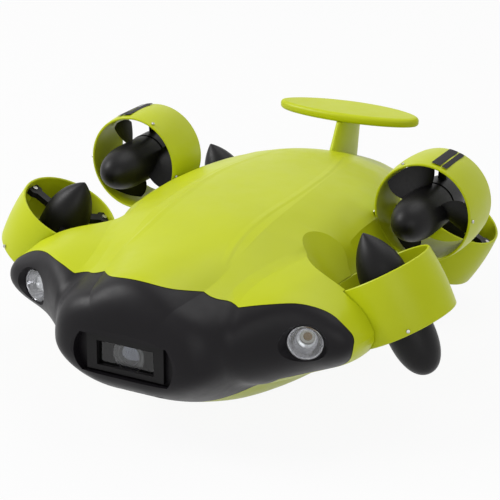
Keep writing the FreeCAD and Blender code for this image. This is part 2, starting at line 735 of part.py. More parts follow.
def mask_outline(name, grow):
    """The mask as seen from ahead, drawn out to a prism that takes the front of the hull."""
    sk = doc.addObject("Sketcher::SketchObject", name + "_outline")
    lx, lz = s.lobe_x.value, s.lobe_z.value
    lw, lh = s.lobe_half_width.value, s.lobe_half_height.value
    top = s.hull_height.value * 0.872 + grow
    low = s.hull_height.value * 0.14 - grow
    notch = (lx - 0.93 * lw - grow * 0.3, lz + 0.76 * lh + grow)
    lower_notch = (lx - 0.36 * lw, lz - 0.95 * lh - grow)
    crest = (lx - 0.12 * lw, lz + 0.88 * lh + grow)
    outer = (lx + 1.0 * lw + grow, lz + 0.12 * lh)
    foot = (lx + 0.12 * lw, lz - 0.84 * lh - grow)
    half = [
        [(0, top), (lx * 0.24, top), (notch[0] * 0.62, notch[1] + 3.5), notch],
        [notch, (notch[0] + 7, notch[1] + 1.5), (crest[0] - 10, crest[1]), crest],
        [crest, (crest[0] + 0.45 * lw, crest[1]), (outer[0], outer[1] + 0.35 * lh), outer],
        [outer, (outer[0], outer[1] - 0.5 * lh), (foot[0] + 0.5 * lw, foot[1] + 3.0), foot],
        [foot, (foot[0] - 8, foot[1] - 2.4), (lower_notch[0] + 6, lower_notch[1] + 0.5), lower_notch],
        [lower_notch, (lower_notch[0] - 0.5 * lw, lower_notch[1] - 13), (lx * 0.4, low), (0, low)],
    ]
    flipped = [[(-x, z) for x, z in reversed(poles)] for poles in reversed(half)]
    for poles in half + flipped:
        sk.addGeometry(bezier_edge(poles), False)
    prism = doc.addObject("Part::Extrusion", name)
    prism.Base = sk
    prism.DirMode = "Custom"
    prism.Dir = V(0, -1, 0)
    prism.Solid = True
    length = s.hull_length / 2.0 + s.mask_back_y + 20.0
    prism.LengthFwd = length.value
    bind(prism, "LengthFwd", length)
    place(sk, 0, s.mask_back_y + grow, 0, (1, 0, 0), 90)
    return prism


core = hull_loft("hull_core", STATIONS, 0.0)
arms = [arm(1, "port"), arm(-1, "starboard")]


def blended(name, base, pieces, radius):
    """Rounds the inner corners where the pieces grow out of the base."""
    joined = fuse(name + "_joined", base, *pieces)
    doc.recompute()
    chosen = []
    for i, edge in enumerate(joined.Shape.Edges):
        middle = Part.Vertex(edge.valueAt((edge.FirstParameter + edge.LastParameter) / 2.0))
        on_base = any(face.distToShape(middle)[0] < 1e-3 for face in base.Shape.Faces)
        on_piece = any(face.distToShape(middle)[0] < 1e-3 for item in pieces for face in item.Shape.Faces)
        if on_base and on_piece:
            chosen.append((i + 1, radius.value, radius.value))
    fillet = doc.addObject("Part::Fillet", name)
    fillet.Base = joined
    fillet.Edges = chosen
    return fillet


outer_solid = fuse("hull_outside", blended("hull_with_arms", core, arms, s.arm_blend), stem())
ground = box("above_ground", s.hull_length, s.hull_length * 1.2, s.hull_length, s.hull_length * -0.5,
             s.hull_length * -0.6, 0)
outside = common("hull_envelope", outer_solid, ground)

# what stays solid inside: the pad over the accessory plate, ribs under the pressure housing,
# pillars of the shell screws and the boss of the depth sensor
pad_half_x = s.plate_half_width + 8.0
pad_y = s.plate_length + 12.0
solid_inside = [box("plate_pad", pad_half_x * 2.0, pad_y, s.plate_thickness * 2.0, -pad_half_x,
                    s.plate_y - pad_y / 2.0, 0)]
for word, share in (("front", -0.4), ("rear", 0.4)):
    solid_inside.append(box("cradle_rib_" + word, s.housing_half_width * 1.9, 3, s.housing_z,
                            s.housing_half_width * -0.95, s.housing_y + s.housing_length * share - 1.5, 0))
pillar_places = [(28.0, -103.5), (-28.0, -103.5), (52.0, 62.0), (-52.0, 62.0), (12.0, 104.0), (-12.0, 104.0)]
pillar_bores = []
for i, (x, y) in enumerate(pillar_places):
    solid_inside.append(place(primitive("Cylinder", "screw_pillar_%d" % i, Radius=s.pillar_radius,
                                        Height=s.hull_height), x, y, 0))
    pillar_bores.append(place(primitive("Cylinder", "screw_head_room_%d" % i, Radius=3.3, Height=10),
                              x, y, -1))
    pillar_bores.append(place(primitive("Cylinder", "screw_hole_%d" % i, Radius=1.65, Height=34), x, y, -1))
sensor_y = 108.0
solid_inside.append(place(primitive("Cylinder", "sensor_boss", Radius=s.sensor_radius + 3.0, Height=16),
                          0, sensor_y, 0))
cavity = cut("hull_cavity", hull_loft("hull_inside", STATIONS[2:14], s.hull_wall.value),
             *([thruster_pocket(t, t.name + "_pocket_wall", s.hull_wall) for t in thrusters] + solid_inside))
pockets = [thruster_pocket(t, t.name + "_pocket", 0.0) for t in thrusters]

# --- Camera and headlight places ----------------------------------------------------------

def across(name, half_x, half_z, low_y, depth, z=s.window_z):
    return box(name, half_x * 2.0, depth, half_z * 2.0, -half_x, low_y, z - half_z)


def barrel(name, radius, low_y, length, x=0, z=s.window_z):
    return place(primitive("Cylinder", name, Radius=radius, Height=length), x, low_y, z, (1, 0, 0), -90)


recess_y = nose_y + s.recess_depth
glass_y = recess_y + s.window_thickness
wall_y = glass_y + 2.0
bezel_depth = s.recess_depth / 2.0
board_y = wall_y + 15.0


def camera_recess():
    """Wide slot in the nose with bowed ends."""
    body = new_body("camera_recess")
    sk = sketch_on(body, "camera_recess_outline", "XZ_Plane", -recess_y, 0)
    w, h, bow = s.recess_half_width - 5.0, s.recess_half_height, 6.6
    corners = [(-w, s.window_z + h), (w, s.window_z + h), (w, s.window_z - h), (-w, s.window_z - h)]
    ends = [V(number(x), number(z), 0) for x, z in corners]
    for i, sign in ((0, 1.0), (2, -1.0)):
        start, end = corners[i + 1], corners[(i + 2) % 4]
        sk.addGeometry(Part.LineSegment(ends[i], ends[i + 1]), False)
        fix_point(sk, i, 1, *corners[i])
        fix_point(sk, i, 2, *start)
        sk.addGeometry(bezier_edge([start, (start[0] + bow * sign, s.window_z + h * (0.4 * sign)),
                                    (end[0] + bow * sign, s.window_z - h * (0.4 * sign)), end]), False)
    feature(body, "Pad", "camera_recess_room", sk, Length=s.recess_depth * 3.0)
    return body


def turned(name, points):
    """A body turned about its own Z axis from an outline of radius and height."""
    body = new_body(name)
    sk = sketch_on(body, name + "_profile", "XZ_Plane")
    polygon(sk, points)
    revolve(body, name + "_turned", sk)
    return body


def on_lamp(body, side):
    """Stands a body drawn about its own Z axis on a headlight's place, facing out."""
    x = s.lamp_x * side
    yaw = Rotation(V(0, 0, 1), number(s.lamp_yaw * side))
    body.Placement = Placement(V(number(x), number(s.lamp_y), number(s.lamp_z)),
                               yaw * Rotation(V(1, 0, 0), 90))
    bind(body, "Placement.Base.x", x)
    bind(body, "Placement.Base.y", s.lamp_y)
    bind(body, "Placement.Base.z", s.lamp_z)
    return body


lamp_seat = s.lamp_radius + s.slip
lamp_back = -s.lamp_depth - 2.0


def lamp_room(side, word):
    mouth = s.lamp_radius + 0.9
    return on_lamp(turned(word + "_lamp_room", [
        (0.0, 30.0), (mouth + 19.0, 30.0), (mouth + 5.5, 10.0), (mouth, 0.6), (lamp_seat, 0.6),
        (lamp_seat, lamp_back - 1.6), (0.0, lamp_back - 1.6)]), side)


def reflector(side, word):
    throat = 4.8
    return keep(on_lamp(turned(word + "_reflector_cup", [
        (s.lamp_radius, -1.0), (s.lamp_radius, lamp_back), (throat, lamp_back),
        (throat, -s.lamp_depth), (s.lamp_radius * 0.72, s.lamp_depth * -0.6),
        (s.lamp_radius - 0.8, -1.0)]), side), word + "_reflector")


def headlight_chip(side, word):
    body = turned(word + "_led_disc", [(0.0, lamp_back), (s.lamp_radius - 1.5, lamp_back),
                                       (s.lamp_radius - 1.5, lamp_back - 1.6), (0.0, lamp_back - 1.6)])
    sk = sketch_on(body, word + "_led_chip_outline", "XY_Plane", lamp_back, 0)
    polygon(sk, [(-2.8, -2.8), (2.8, -2.8), (2.8, 2.8), (-2.8, 2.8)])
    feature(body, "Pad", word + "_led_chip", sk, Length=0.9)
    return keep(on_lamp(body, side), word + "_led")


def lamp_lens(side, word):
    return keep(on_lamp(turned(word + "_lens_disc", [
        (0.0, 0.5), (s.lamp_radius - 0.5, 0.5), (s.lamp_radius, 0.0), (s.lamp_radius, -1.0),
        (0.0, -1.0)]), side), word + "_lamp_lens")


for side, word in ((1, "port"), (-1, "starboard")):
    reflector(side, word)
    headlight_chip(side, word)
    lamp_lens(side, word)

# --- Mask ---------------------------------------------------------------------------------
board_half_x, board_half_z = 18.0, 15.0
boss_places = [(x, z) for x in (-14.0, 14.0) for z in (-11.0, 11.0)]
slots = []
for i in range(int(s.slot_count.value)):
    x = s.slot_pitch * (i - (s.slot_count.value - 1) / 2.0) - s.slot_length / 2.0
    slots.append(box("drain_slot_%d" % i, s.slot_length, 24, s.slot_width,
                     x, nose_y - 8.0, s.window_z * 0.53))
openings = [camera_recess(),
            across("glass_seat", s.window_half_width + 2.0 + s.slip, s.window_half_height + 2.0 + s.slip,
                   recess_y - 1.0, s.window_thickness + 1.0),
            barrel("lens_way", s.lens_radius + 0.3, glass_y - 1.0, 6),
            lamp_room(1, "port"), lamp_room(-1, "starboard")]
bosses = [barrel("board_boss_%d" % i, 2.6, wall_y - 1.0, board_y - wall_y + 1.0, x, s.window_z + z)
          for i, (x, z) in enumerate(boss_places)]
mask_front = cut("mask_hollow", common("mask_solid", outside, mask_outline("mask_room", 0.0)), cavity)
mask_body = cut("mask_cut", fuse("mask_with_bosses", mask_front, *bosses), *(openings + slots + pockets))
keep(mask_body, "front_mask")

keep(cut("bezel_frame", across("bezel_block", s.bezel_half_width, s.bezel_half_height, recess_y - bezel_depth,
                               bezel_depth),
         across("bezel_window", s.window_half_width, s.window_half_height, recess_y - bezel_depth - 1.0,
                bezel_depth + 2.0)), "camera_bezel")
keep(across("camera_window", s.window_half_width + 2.0, s.window_half_height + 2.0, recess_y,
            s.window_thickness), "camera_window")
lens_front = glass_y + 0.4
lens_tube = place(turned("lens_tube", [
    (0.0, board_y - lens_front), (s.lens_radius, board_y - lens_front), (s.lens_radius, 0.8),
    (s.lens_radius - 0.8, 0.0), (s.lens_radius * 0.72, 0.0), (s.lens_radius * 0.6, 2.0),
    (s.lens_radius * 0.3, 1.4), (0.0, 1.2)]), 0, lens_front, s.window_z, (1, 0, 0), -90)
keep(lens_tube, "lens_barrel")
board = across("camera_board_plate", board_half_x, board_half_z, board_y, s.board_thickness)
board_parts = [across("image_sensor_case", 9.0, 9.0, board_y + s.board_thickness, 3),
               box("camera_plug", 12, 4, 5, -6.0, board_y + s.board_thickness,
                   s.window_z - board_half_z + 1.0)]
keep(fuse("camera_board_set", board, *board_parts), "camera_board")

# --- Shells -------------------------------------------------------------------------------
shells = cut("shells_solid", outside, mask_outline("mask_room_grown", s.seam_gap), cavity, *pockets)
half_span = s.hull_length * 0.6


def tail_seat(extra):
    return barrel("tether_seat", s.socket_radius + extra, -nose_y - s.socket_depth, s.socket_depth + 10.0, 0,
                  s.socket_z)


def plate_room(extra):
    return box("plate_room", (s.plate_half_width + extra) * 2.0, s.plate_length + extra * 2.0,
               s.plate_thickness + 5.0, -s.plate_half_width - extra,
               s.plate_y - s.plate_length / 2.0 - extra, -5)


upper_half = box("upper_half", half_span * 2.0, half_span * 2.0, s.hull_length,
                 -half_span, -half_span, s.parting_z)
lower_half = box("lower_half", half_span * 2.0, half_span * 2.0, s.parting_z + 50.0,
                 -half_span, -half_span, -50)
screw_places = [(x, s.plate_y + y) for x in (-19.0, 19.0) for y in (-25.0, 25.0)]
plate_holes = [place(primitive("Cylinder", "plate_screw_hole_%d" % i, Radius=1.65, Height=9), x, y, -1)
               for i, (x, y) in enumerate(screw_places)]
sensor_hole = place(primitive("Cylinder", "sensor_hole", Radius=s.sensor_radius + s.slip, Height=11),
                    0, sensor_y, -1)
keep(cut("upper_cut", common("upper_block", shells, upper_half), tail_seat(s.slip), *pillar_bores),
     "upper_shell")
keep(cut("lower_cut", common("lower_block", shells, lower_half), plate_room(s.slip), sensor_hole,
         *(pillar_bores + plate_holes)), "lower_shell")


def screw(name, x, y, head_z, head_radius, head_height, shank_radius, length):
    """A screw that points up, its head below."""
    head = place(primitive("Cylinder", name + "_head", Radius=head_radius, Height=head_height), x, y, head_z)
    shank = place(primitive("Cylinder", name + "_shank", Radius=shank_radius, Height=length + 0.5), x, y,
                  head_z + head_height - 0.5)
    return fuse(name, head, shank)


def group(name, pieces):
    obj = doc.addObject("Part::Compound", name + "_set")
    obj.Links = pieces
    return keep(obj, name)


group("shell_screws", [screw("shell_screw_%d" % i, x, y, 6.0, 3.0, 3.0, 1.5, 22.0)
                       for i, (x, y) in enumerate(pillar_places)])

# --- Accessory plate ----------------------------------------------------------------------
threads = [place(primitive("Cylinder", "thread_%d" % i, Radius=s.thread_radius,
                           Height=s.plate_thickness + 2.0),
                 s.thread_spacing_x * (0.5 * u), s.plate_y + s.thread_spacing_y * (0.5 * v), -1)
           for i, (u, v) in enumerate([(-1, -1), (1, -1), (-1, 1), (1, 1)])]
head_rooms = [place(primitive("Cylinder", "head_room_%d" % i, Radius=3.1, Height=3), x, y, -1)
              for i, (x, y) in enumerate(screw_places)]
plate_block = box("plate_block", s.plate_half_width * 2.0, s.plate_length, s.plate_thickness,
                  -s.plate_half_width, s.plate_y - s.plate_length / 2.0, 0)
keep(cut("plate_drilled", plate_block, *(threads + plate_holes + head_rooms)), "accessory_plate")
group("plate_screws", [screw("plate_screw_%d" % i, x, y, 0.2, 2.9, 1.8, 1.5, 5.0)
                       for i, (x, y) in enumerate(screw_places)])

# --- Inside -------------------------------------------------------------------------------

def rounded_block(name, half_x, length, height, middle_y, low_z, radius):
    body = new_body(name)
    sk = sketch_on(body, name + "_outline", "XY_Plane", low_z, 0)
    y0, y1 = middle_y - length / 2.0, middle_y + length / 2.0
    polygon(sk, [(-half_x, y0), (half_x, y0), (half_x, y1), (-half_x, y1)])
    block = feature(body, "Pad", name + "_block", sk, Length=height)
    rounded_edges(body, block, radius, lambda edge: abs(edge.BoundBox.ZLength - number(height)) < 0.01
                  and edge.BoundBox.XLength < 0.01)
    return body


def hollow(body, name, half_x, length, depth, middle_y, top_z):
    sk = sketch_on(body, name + "_outline", "XY_Plane", top_z, 0)
    y0, y1 = middle_y - length / 2.0, middle_y + length / 2.0
    polygon(sk, [(-half_x, y0), (half_x, y0), (half_x, y1), (-half_x, y1)])
    return feature(body, "Pocket", name, sk, Length=depth)


housing_top = s.housing_z + s.housing_height
rim_half = s.housing_half_width - 2.0 - s.seal_radius * 2.0
rim_length = s.housing_length - 4.0 - s.seal_radius * 4.0
housing = rounded_block("housing_tub", s.housing_half_width, s.housing_length, s.housing_height,
                        s.housing_y, s.housing_z, 6.0)
hollow(housing, "housing_step", rim_half + s.seal_radius * 2.0, rim_length + s.seal_radius * 4.0,
       s.seal_radius * 2.0, s.housing_y, housing_top)
inner_half = rim_half - 2.0
hollow(housing, "housing_room", inner_half, rim_length - 4.0, s.housing_height - s.housing_wall, s.housing_y,
       housing_top)
keep(housing, "pressure_housing")
seal = rounded_block("seal_block", rim_half + s.seal_radius * 2.0 - s.slip, rim_length + s.seal_radius * 4.0
                     - s.slip * 2.0, s.seal_radius * 2.0, s.housing_y, housing_top - s.seal_radius * 2.0, 4.0)
hollow(seal, "seal_room", rim_half, rim_length, s.seal_radius * 4.0, s.housing_y, housing_top)
keep(seal, "housing_seal")
lid = rounded_block("lid_plate", s.housing_half_width, s.housing_length, s.lid_thickness, s.housing_y,
                    housing_top, 6.0)
keep(lid, "housing_lid")
floor_z = s.housing_z + s.housing_wall
battery = rounded_block("battery_block", s.battery_half_width, s.battery_length, s.battery_height,
                        s.housing_y,
                        floor_z, 4.0)
legs = sketch_on(battery, "standoff_places", "XY_Plane", floor_z + s.battery_height, 0)
for u in (-1, 1):
    for v in (-1, 1):
        circle(legs, (s.board_half_width - 5.0) * u, s.housing_y + (s.board_length / 2.0 - 5.0) * v, 3.0)
feature(battery, "Pad", "standoffs", legs, Length=s.standoff_height)
keep(battery, "battery_pack")
board_z = floor_z + s.battery_height + s.standoff_height
control = rounded_block("control_plate", s.board_half_width, s.board_length, s.board_thickness, s.housing_y,
                        board_z, 2.0)
parts_z = board_z + s.board_thickness
for name, x, y, half_x, half_y, height in (("processor_cooler", 0.0, -20.0, 14.0, 14.0, 7.0),
                                           ("plug_row", 0.0, 36.0, 24.0, 3.5, 6.0),
                                           ("converter", -14.0, 12.0, 8.0, 8.0, 5.0),
                                           ("gyro", 14.0, 12.0, 5.0, 5.0, 1.6)):
    sk = sketch_on(control, name + "_outline", "XY_Plane", parts_z, 0)
    polygon(sk, [(x - half_x, s.housing_y + y - half_y), (x + half_x, s.housing_y + y - half_y),
                 (x + half_x, s.housing_y + y + half_y), (x - half_x, s.housing_y + y + half_y)])
    feature(control, "Pad", name, sk, Length=height)
keep(control, "control_board")
foam_z = housing_top + s.lid_thickness
foam_length = s.housing_length / 2.0 - 6.0
group("foam_blocks", [rounded_block("foam_" + word, s.housing_half_width * 0.85, foam_length, s.foam_height,
                                    s.housing_y + share * s.housing_length, foam_z, 5.0)
                      for word, share in (("front", -0.25), ("rear", 0.25))])
weight_z = s.plate_thickness * 2.0
group("trim_weights", [box("trim_bar_" + word, 18, 56, s.housing_z - weight_z - 0.5,
                           x, s.plate_y - 28.0, weight_z)
                       for word, x in (("port", 8.0), ("starboard", -26.0))])
keep(cut("sensor_can", place(primitive("Cylinder", "sensor_body", Radius=s.sensor_radius, Height=8), 0,
                             sensor_y, 2),
         place(primitive("Cone", "sensor_port", Radius1=3, Radius2=1.5, Height=3), 0, sensor_y, 1.9)),
     "depth_sensor")

# --- Tether socket ------------------------------------------------------------------------
tail_y = -nose_y
socket_low = tail_y - s.socket_depth
cup = place(turned("socket_cup", [
    (0.0, 0.0), (s.socket_radius, 0.0), (s.socket_radius, s.socket_depth - 0.6),
    (s.socket_radius - 0.6, s.socket_depth), (s.socket_bore, s.socket_depth), (s.socket_bore, 4.0),
    (s.socket_bore - 0.6, 4.0), (s.socket_bore - 0.6, 2.0), (0.0, 2.0)]),
    0, socket_low, s.socket_z, (1, 0, 0), -90)
keep(cup, "tether_socket")
insert = new_body("socket_pins")
sk = sketch_on(insert, "insert_outline", "XY_Plane", 2, 0)
circle(sk, 0, 0, s.socket_bore - 0.6 - s.slip)
feature(insert, "Pad", "insert_disc", sk, Length=1.6)
sk = sketch_on(insert, "contact_place", "XY_Plane", 3.6, 0)
circle(sk, s.socket_bore * 0.5, 0, 1.2)
polar(insert, "contacts", feature(insert, "Pad", "contact", sk, Length=0.3), s.pin_count)
keep(place(insert, 0, socket_low, s.socket_z, (1, 0, 0), -90), "socket_insert")

# --- Handle wing --------------------------------------------------------------------------
wing = new_body("wing")
sk = sketch_on(wing, "wing_outline", "XY_Plane", s.wing_z - s.wing_thickness / 2.0, 0)
span, front_y, back_y = s.wing_half_span.value, -s.wing_chord.value / 2.0, s.wing_chord.value / 2.0
tip_y = -1.5
quarter = [[(0, front_y), (span * 0.55, front_y), (span, tip_y - 9), (span, tip_y)],
           [(span, tip_y), (span, tip_y + 8), (span * 0.6, back_y), (0, back_y)]]
for poles in quarter + [[(-x, y) for x, y in reversed(poles)] for poles in reversed(quarter)]:
    sk.addGeometry(bezier_edge([(x, y + s.wing_y.value) for x, y in poles]), False)
wing_pad = feature(wing, "Pad", "wing_blank", sk, Length=s.wing_thickness)
rounded_edges(wing, wing_pad, s.wing_thickness * 0.42, lambda edge: edge.BoundBox.ZLength < 0.01)
keep(wing, "handle_wing")

# --- Small parts of the thrusters ---------------------------------------------------------

heads = []
for t in thrusters:
    for i in range(int(s.strut_count.value)):
        name = "%s_strut_screw_%d" % (t.name, i)
        angle = number(t.strut_turn) + 360.0 / s.strut_count.value * i
        x = screw_circle.value * math.cos(math.radians(angle))
        y = screw_circle.value * math.sin(math.radians(angle))
        top = (strut_low + s.strut_height).value
        head = primitive("Cylinder", name + "_head", Radius=1.7, Height=0.9)
        head.Placement = Placement(V(x, y, top), Rotation())
        shank = primitive("Cylinder", name + "_shank", Radius=0.8, Height=6.5)
        shank.Placement = Placement(V(x, y, top - 6.2), Rotation())
        heads.append(t.put(fuse(name, head, shank)))
group("strut_screws", heads)
bushes = []
for t in thrusters:
    for word, low in (("nose", pod_cavity_top), ("rear", -19.0)):
        name = "%s_%s_bush" % (t.name, word)
        outer = primitive("Cylinder", name + "_outer", Radius=s.bearing_radius, Height=s.bearing_length)
        inner = primitive("Cylinder", name + "_bore", Radius=s.shaft_radius + s.shaft_fit,
                          Height=s.bearing_length + 2.0)
        outer.Placement = Placement(V(0, 0, low), Rotation())
        inner.Placement = Placement(V(0, 0, low - 1.0), Rotation())
        bushes.append(t.put(cut(name, outer, inner)))
group("shaft_bearings", bushes)
doc.recompute()

bad = [obj.Name for obj in doc.Objects if "Invalid" in obj.State or "Error" in obj.State]
for obj in parts:
    if obj.Shape.isNull() or not obj.Shape.isValid() or not obj.Shape.Solids:
        bad.append(obj.Label + " shape")
if bad:
    raise RuntimeError("not built: " + ", ".join(bad))
os.makedirs("parts", exist_ok=True)
for obj in parts:
    obj.Shape.exportStep("parts/%s.step" % obj.Label)
    print("%-28s solids %2d volume %10.1f" % (obj.Label, len(obj.Shape.Solids), obj.Shape.Volume))
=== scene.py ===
import bmesh
import bpy
import math
from mathutils import Matrix, Vector
from mathutils.bvhtree import BVHTree


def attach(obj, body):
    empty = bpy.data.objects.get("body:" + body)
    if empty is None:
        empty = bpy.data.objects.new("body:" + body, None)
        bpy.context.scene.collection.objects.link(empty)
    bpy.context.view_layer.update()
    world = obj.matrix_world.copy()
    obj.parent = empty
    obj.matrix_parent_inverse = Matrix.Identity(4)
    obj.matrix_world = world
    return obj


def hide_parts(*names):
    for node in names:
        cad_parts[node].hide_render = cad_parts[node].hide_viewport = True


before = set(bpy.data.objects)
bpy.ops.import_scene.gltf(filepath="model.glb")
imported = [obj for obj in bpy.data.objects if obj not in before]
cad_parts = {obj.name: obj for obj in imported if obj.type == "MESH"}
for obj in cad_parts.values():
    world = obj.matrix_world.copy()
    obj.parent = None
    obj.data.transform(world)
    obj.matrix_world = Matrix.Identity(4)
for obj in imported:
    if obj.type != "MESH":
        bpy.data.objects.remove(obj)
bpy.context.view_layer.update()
mm = 0.001
waveShare = 6.3  # with it, one wave of a wave texture spans about twice the size it is given
print("frame loaded:", len(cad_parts), "parts")


# small helpers

def linearColour(hexCode):
    channels = [int(hexCode[i:i + 2], 16) / 255 for i in (1, 3, 5)]
    return [c / 12.92 if c <= 0.04045 else ((c + 0.055) / 1.055) ** 2.4 for c in channels] + [1.0]


def addNode(tree, kind, inputs=None, stops=(), **settings):
    # kind names a new node, or is one that the tree already has; stops colour a ramp's two ends
    node = tree.nodes.new(kind) if isinstance(kind, str) else kind
    for name, value in settings.items():
        setattr(node, name, value)
    for key, value in (inputs or {}).items():
        if isinstance(value, bpy.types.NodeSocket):
            tree.links.new(value, node.inputs[key])
        else:
            node.inputs[key].default_value = value
    for i, (place, hexCode) in enumerate(stops):
        node.color_ramp.elements[i].position = place
        node.color_ramp.elements[i].color = linearColour(hexCode)
    return node


def perMillimetre(size):
    return 1000.0 / size  # texture scale of one feature every so many mm


def newMaterial(name):
    material = bpy.data.materials.new(name)
    material.use_nodes = True
    tree = material.node_tree
    place = addNode(tree, "ShaderNodeTexCoord").outputs["Object"]  # metres, carried with the piece
    return material, tree, tree.nodes["Principled BSDF"], place


# materials, each from what the real surface is

def mouldedAbs(name, colours, roughness, gloss, grain, grainDepth):
    # ABS from a lightly spark-eroded tool: a soft satin sheen that spreads on the crowns,
    # with a faint cloudiness where the melt flowed
    material, tree, shader, place = newMaterial(name)
    flow = addNode(tree, "ShaderNodeTexNoise", {"Vector": place, "Scale": perMillimetre(70),
                                                "Detail": 3.0}).outputs["Fac"]
    fine = addNode(tree, "ShaderNodeTexNoise", {"Vector": place, "Scale": perMillimetre(grain),
                                                "Detail": 2.0}).outputs["Fac"]
    handling = addNode(tree, "ShaderNodeTexNoise", {"Vector": place, "Scale": perMillimetre(11),
                                                    "Detail": 5.0, "Roughness": 0.65}).outputs["Fac"]
    addNode(tree, shader, {
        "Base Color": addNode(tree, "ShaderNodeValToRGB", {"Fac": flow},
                              stops=[(0.32, colours[0]), (0.68, colours[1])]).outputs["Color"],
        "Roughness": addNode(tree, "ShaderNodeMapRange", {
            "Value": handling, "From Min": 0.35, "From Max": 0.7,
            "To Min": roughness - 0.035, "To Max": roughness + 0.045}).outputs["Result"],
        "IOR": 1.53, "Specular IOR Level": gloss,
        "Normal": addNode(tree, "ShaderNodeBump", {
            "Height": fine, "Distance": grainDepth * mm}).outputs["Normal"]})
    return material


def filledNylon():
    # glass-filled nylon, moulded: near black, a broad soft highlight broken by short fibre streaks
    material, tree, shader, place = newMaterial("glass-filled nylon, black")
    stretched = addNode(tree, "ShaderNodeMapping", {"Vector": place, "Scale": (1.0, 1.0, 0.25)})
    fibre = addNode(tree, "ShaderNodeTexNoise", {"Vector": stretched.outputs["Vector"],
                                                 "Scale": perMillimetre(0.9), "Detail": 3.0}).outputs["Fac"]
    bloom = addNode(tree, "ShaderNodeTexNoise", {"Vector": place, "Scale": perMillimetre(16),
                                                 "Detail": 3.0}).outputs["Fac"]
    addNode(tree, shader, {
        "Base Color": addNode(tree, "ShaderNodeValToRGB", {"Fac": bloom},
                              stops=[(0.3, "#0c0b0c"), (0.7, "#121112")]).outputs["Color"],
        "Roughness": addNode(tree, "ShaderNodeMapRange", {
            "Value": fibre, "From Min": 0.3, "From Max": 0.7,
            "To Min": 0.36, "To Max": 0.48}).outputs["Result"],
        "IOR": 1.53, "Specular IOR Level": 0.18,
        "Normal": addNode(tree, "ShaderNodeBump", {
            "Height": fibre, "Distance": 0.03 * mm}).outputs["Normal"]})
    return material


def enamelledCopper():
    # enamelled copper wire under clear potting resin: rows of round wire with a warm gloss
    material, tree, shader, place = newMaterial("enamelled copper wire")
    rows = addNode(tree, "ShaderNodeTexWave", {"Vector": place, "Scale": perMillimetre(0.8) / waveShare,
                                               "Distortion": 1.2, "Detail": 1.0}, bands_direction="Z")
    # the colour follows the wire rows that the bump raises, darker in the grooves between the wires: painted
    # shade
    addNode(tree, shader, {
        "Base Color": addNode(tree, "ShaderNodeValToRGB", {"Fac": rows.outputs["Fac"]},
                              stops=[(0.1, "#5e2c16"), (0.8, "#b5673a")]).outputs["Color"],
        "Metallic": 0.85, "Roughness": 0.32, "Coat Weight": 0.6, "Coat Roughness": 0.08,
        "Normal": addNode(tree, "ShaderNodeBump", {
            "Height": rows.outputs["Fac"], "Distance": 0.2 * mm}).outputs["Normal"]})
    return material


def bushPolymer():
    # acetal bush, turned: off-white and waxy, with fine tool rings
    material, tree, shader, place = newMaterial("acetal, turned")
    rings = addNode(tree, "ShaderNodeTexWave", {"Vector": place, "Scale": perMillimetre(0.5) / waveShare,
                                                "Distortion": 0.4}, wave_type="RINGS")
    cloud = addNode(tree, "ShaderNodeTexNoise", {"Vector": place, "Scale": perMillimetre(4)}).outputs["Fac"]
    addNode(tree, shader, {
        "Base Color": addNode(tree, "ShaderNodeValToRGB", {"Fac": cloud},
                              stops=[(0.3, "#cfc8b6"), (0.7, "#ddd8ca")]).outputs["Color"],
        "Roughness": 0.48, "IOR": 1.48, "Subsurface Weight": 0.08, "Subsurface Scale": 0.001,
        "Normal": addNode(tree, "ShaderNodeBump", {
            "Height": rings.outputs["Fac"], "Distance": 0.02 * mm}).outputs["Normal"]})
    return material


def stainlessSteel():
    # A4 stainless, turned and passivated: grey and bright with fine circular tool marks
    material, tree, shader, place = newMaterial("stainless steel, turned")
    marks = addNode(tree, "ShaderNodeTexNoise", {"Vector": place, "Scale": perMillimetre(0.35),
                                                 "Detail": 4.0}).outputs["Fac"]
    stain = addNode(tree, "ShaderNodeTexNoise", {"Vector": place, "Scale": perMillimetre(3),
                                                 "Detail": 3.0}).outputs["Fac"]
    addNode(tree, shader, {
        "Base Color": addNode(tree, "ShaderNodeValToRGB", {"Fac": stain},
                              stops=[(0.3, "#a9a8a6"), (0.7, "#c4c3c1")]).outputs["Color"],
        "Metallic": 1.0,
        "Roughness": addNode(tree, "ShaderNodeMapRange", {
            "Value": marks, "From Min": 0.3, "From Max": 0.7,
            "To Min": 0.22, "To Max": 0.36}).outputs["Result"],
        "Normal": addNode(tree, "ShaderNodeBump", {
            "Height": marks, "Distance": 0.01 * mm}).outputs["Normal"]})
    return material


def metallisedReflector():
    # aluminium evaporated on a lacquered moulding: mirror bright with a faint orange peel
    material, tree, shader, place = newMaterial("vacuum-metallised plastic")
    peel = addNode(tree, "ShaderNodeTexNoise", {"Vector": place, "Scale": perMillimetre(2.2),
                                                "Detail": 1.0}).outputs["Fac"]
    addNode(tree, shader, {
        "Base Color": addNode(tree, "ShaderNodeValToRGB", {"Fac": peel},
                              stops=[(0.3, "#a3a2a6"), (0.7, "#b9b8bb")]).outputs["Color"],
        "Metallic": 1.0,
        "Roughness": addNode(tree, "ShaderNodeMapRange", {
            "Value": peel, "From Min": 0.3, "From Max": 0.7,
            "To Min": 0.16, "To Max": 0.24}).outputs["Result"],
        "Normal": addNode(tree, "ShaderNodeBump", {
            "Height": peel, "Distance": 0.03 * mm}).outputs["Normal"]})
    return material


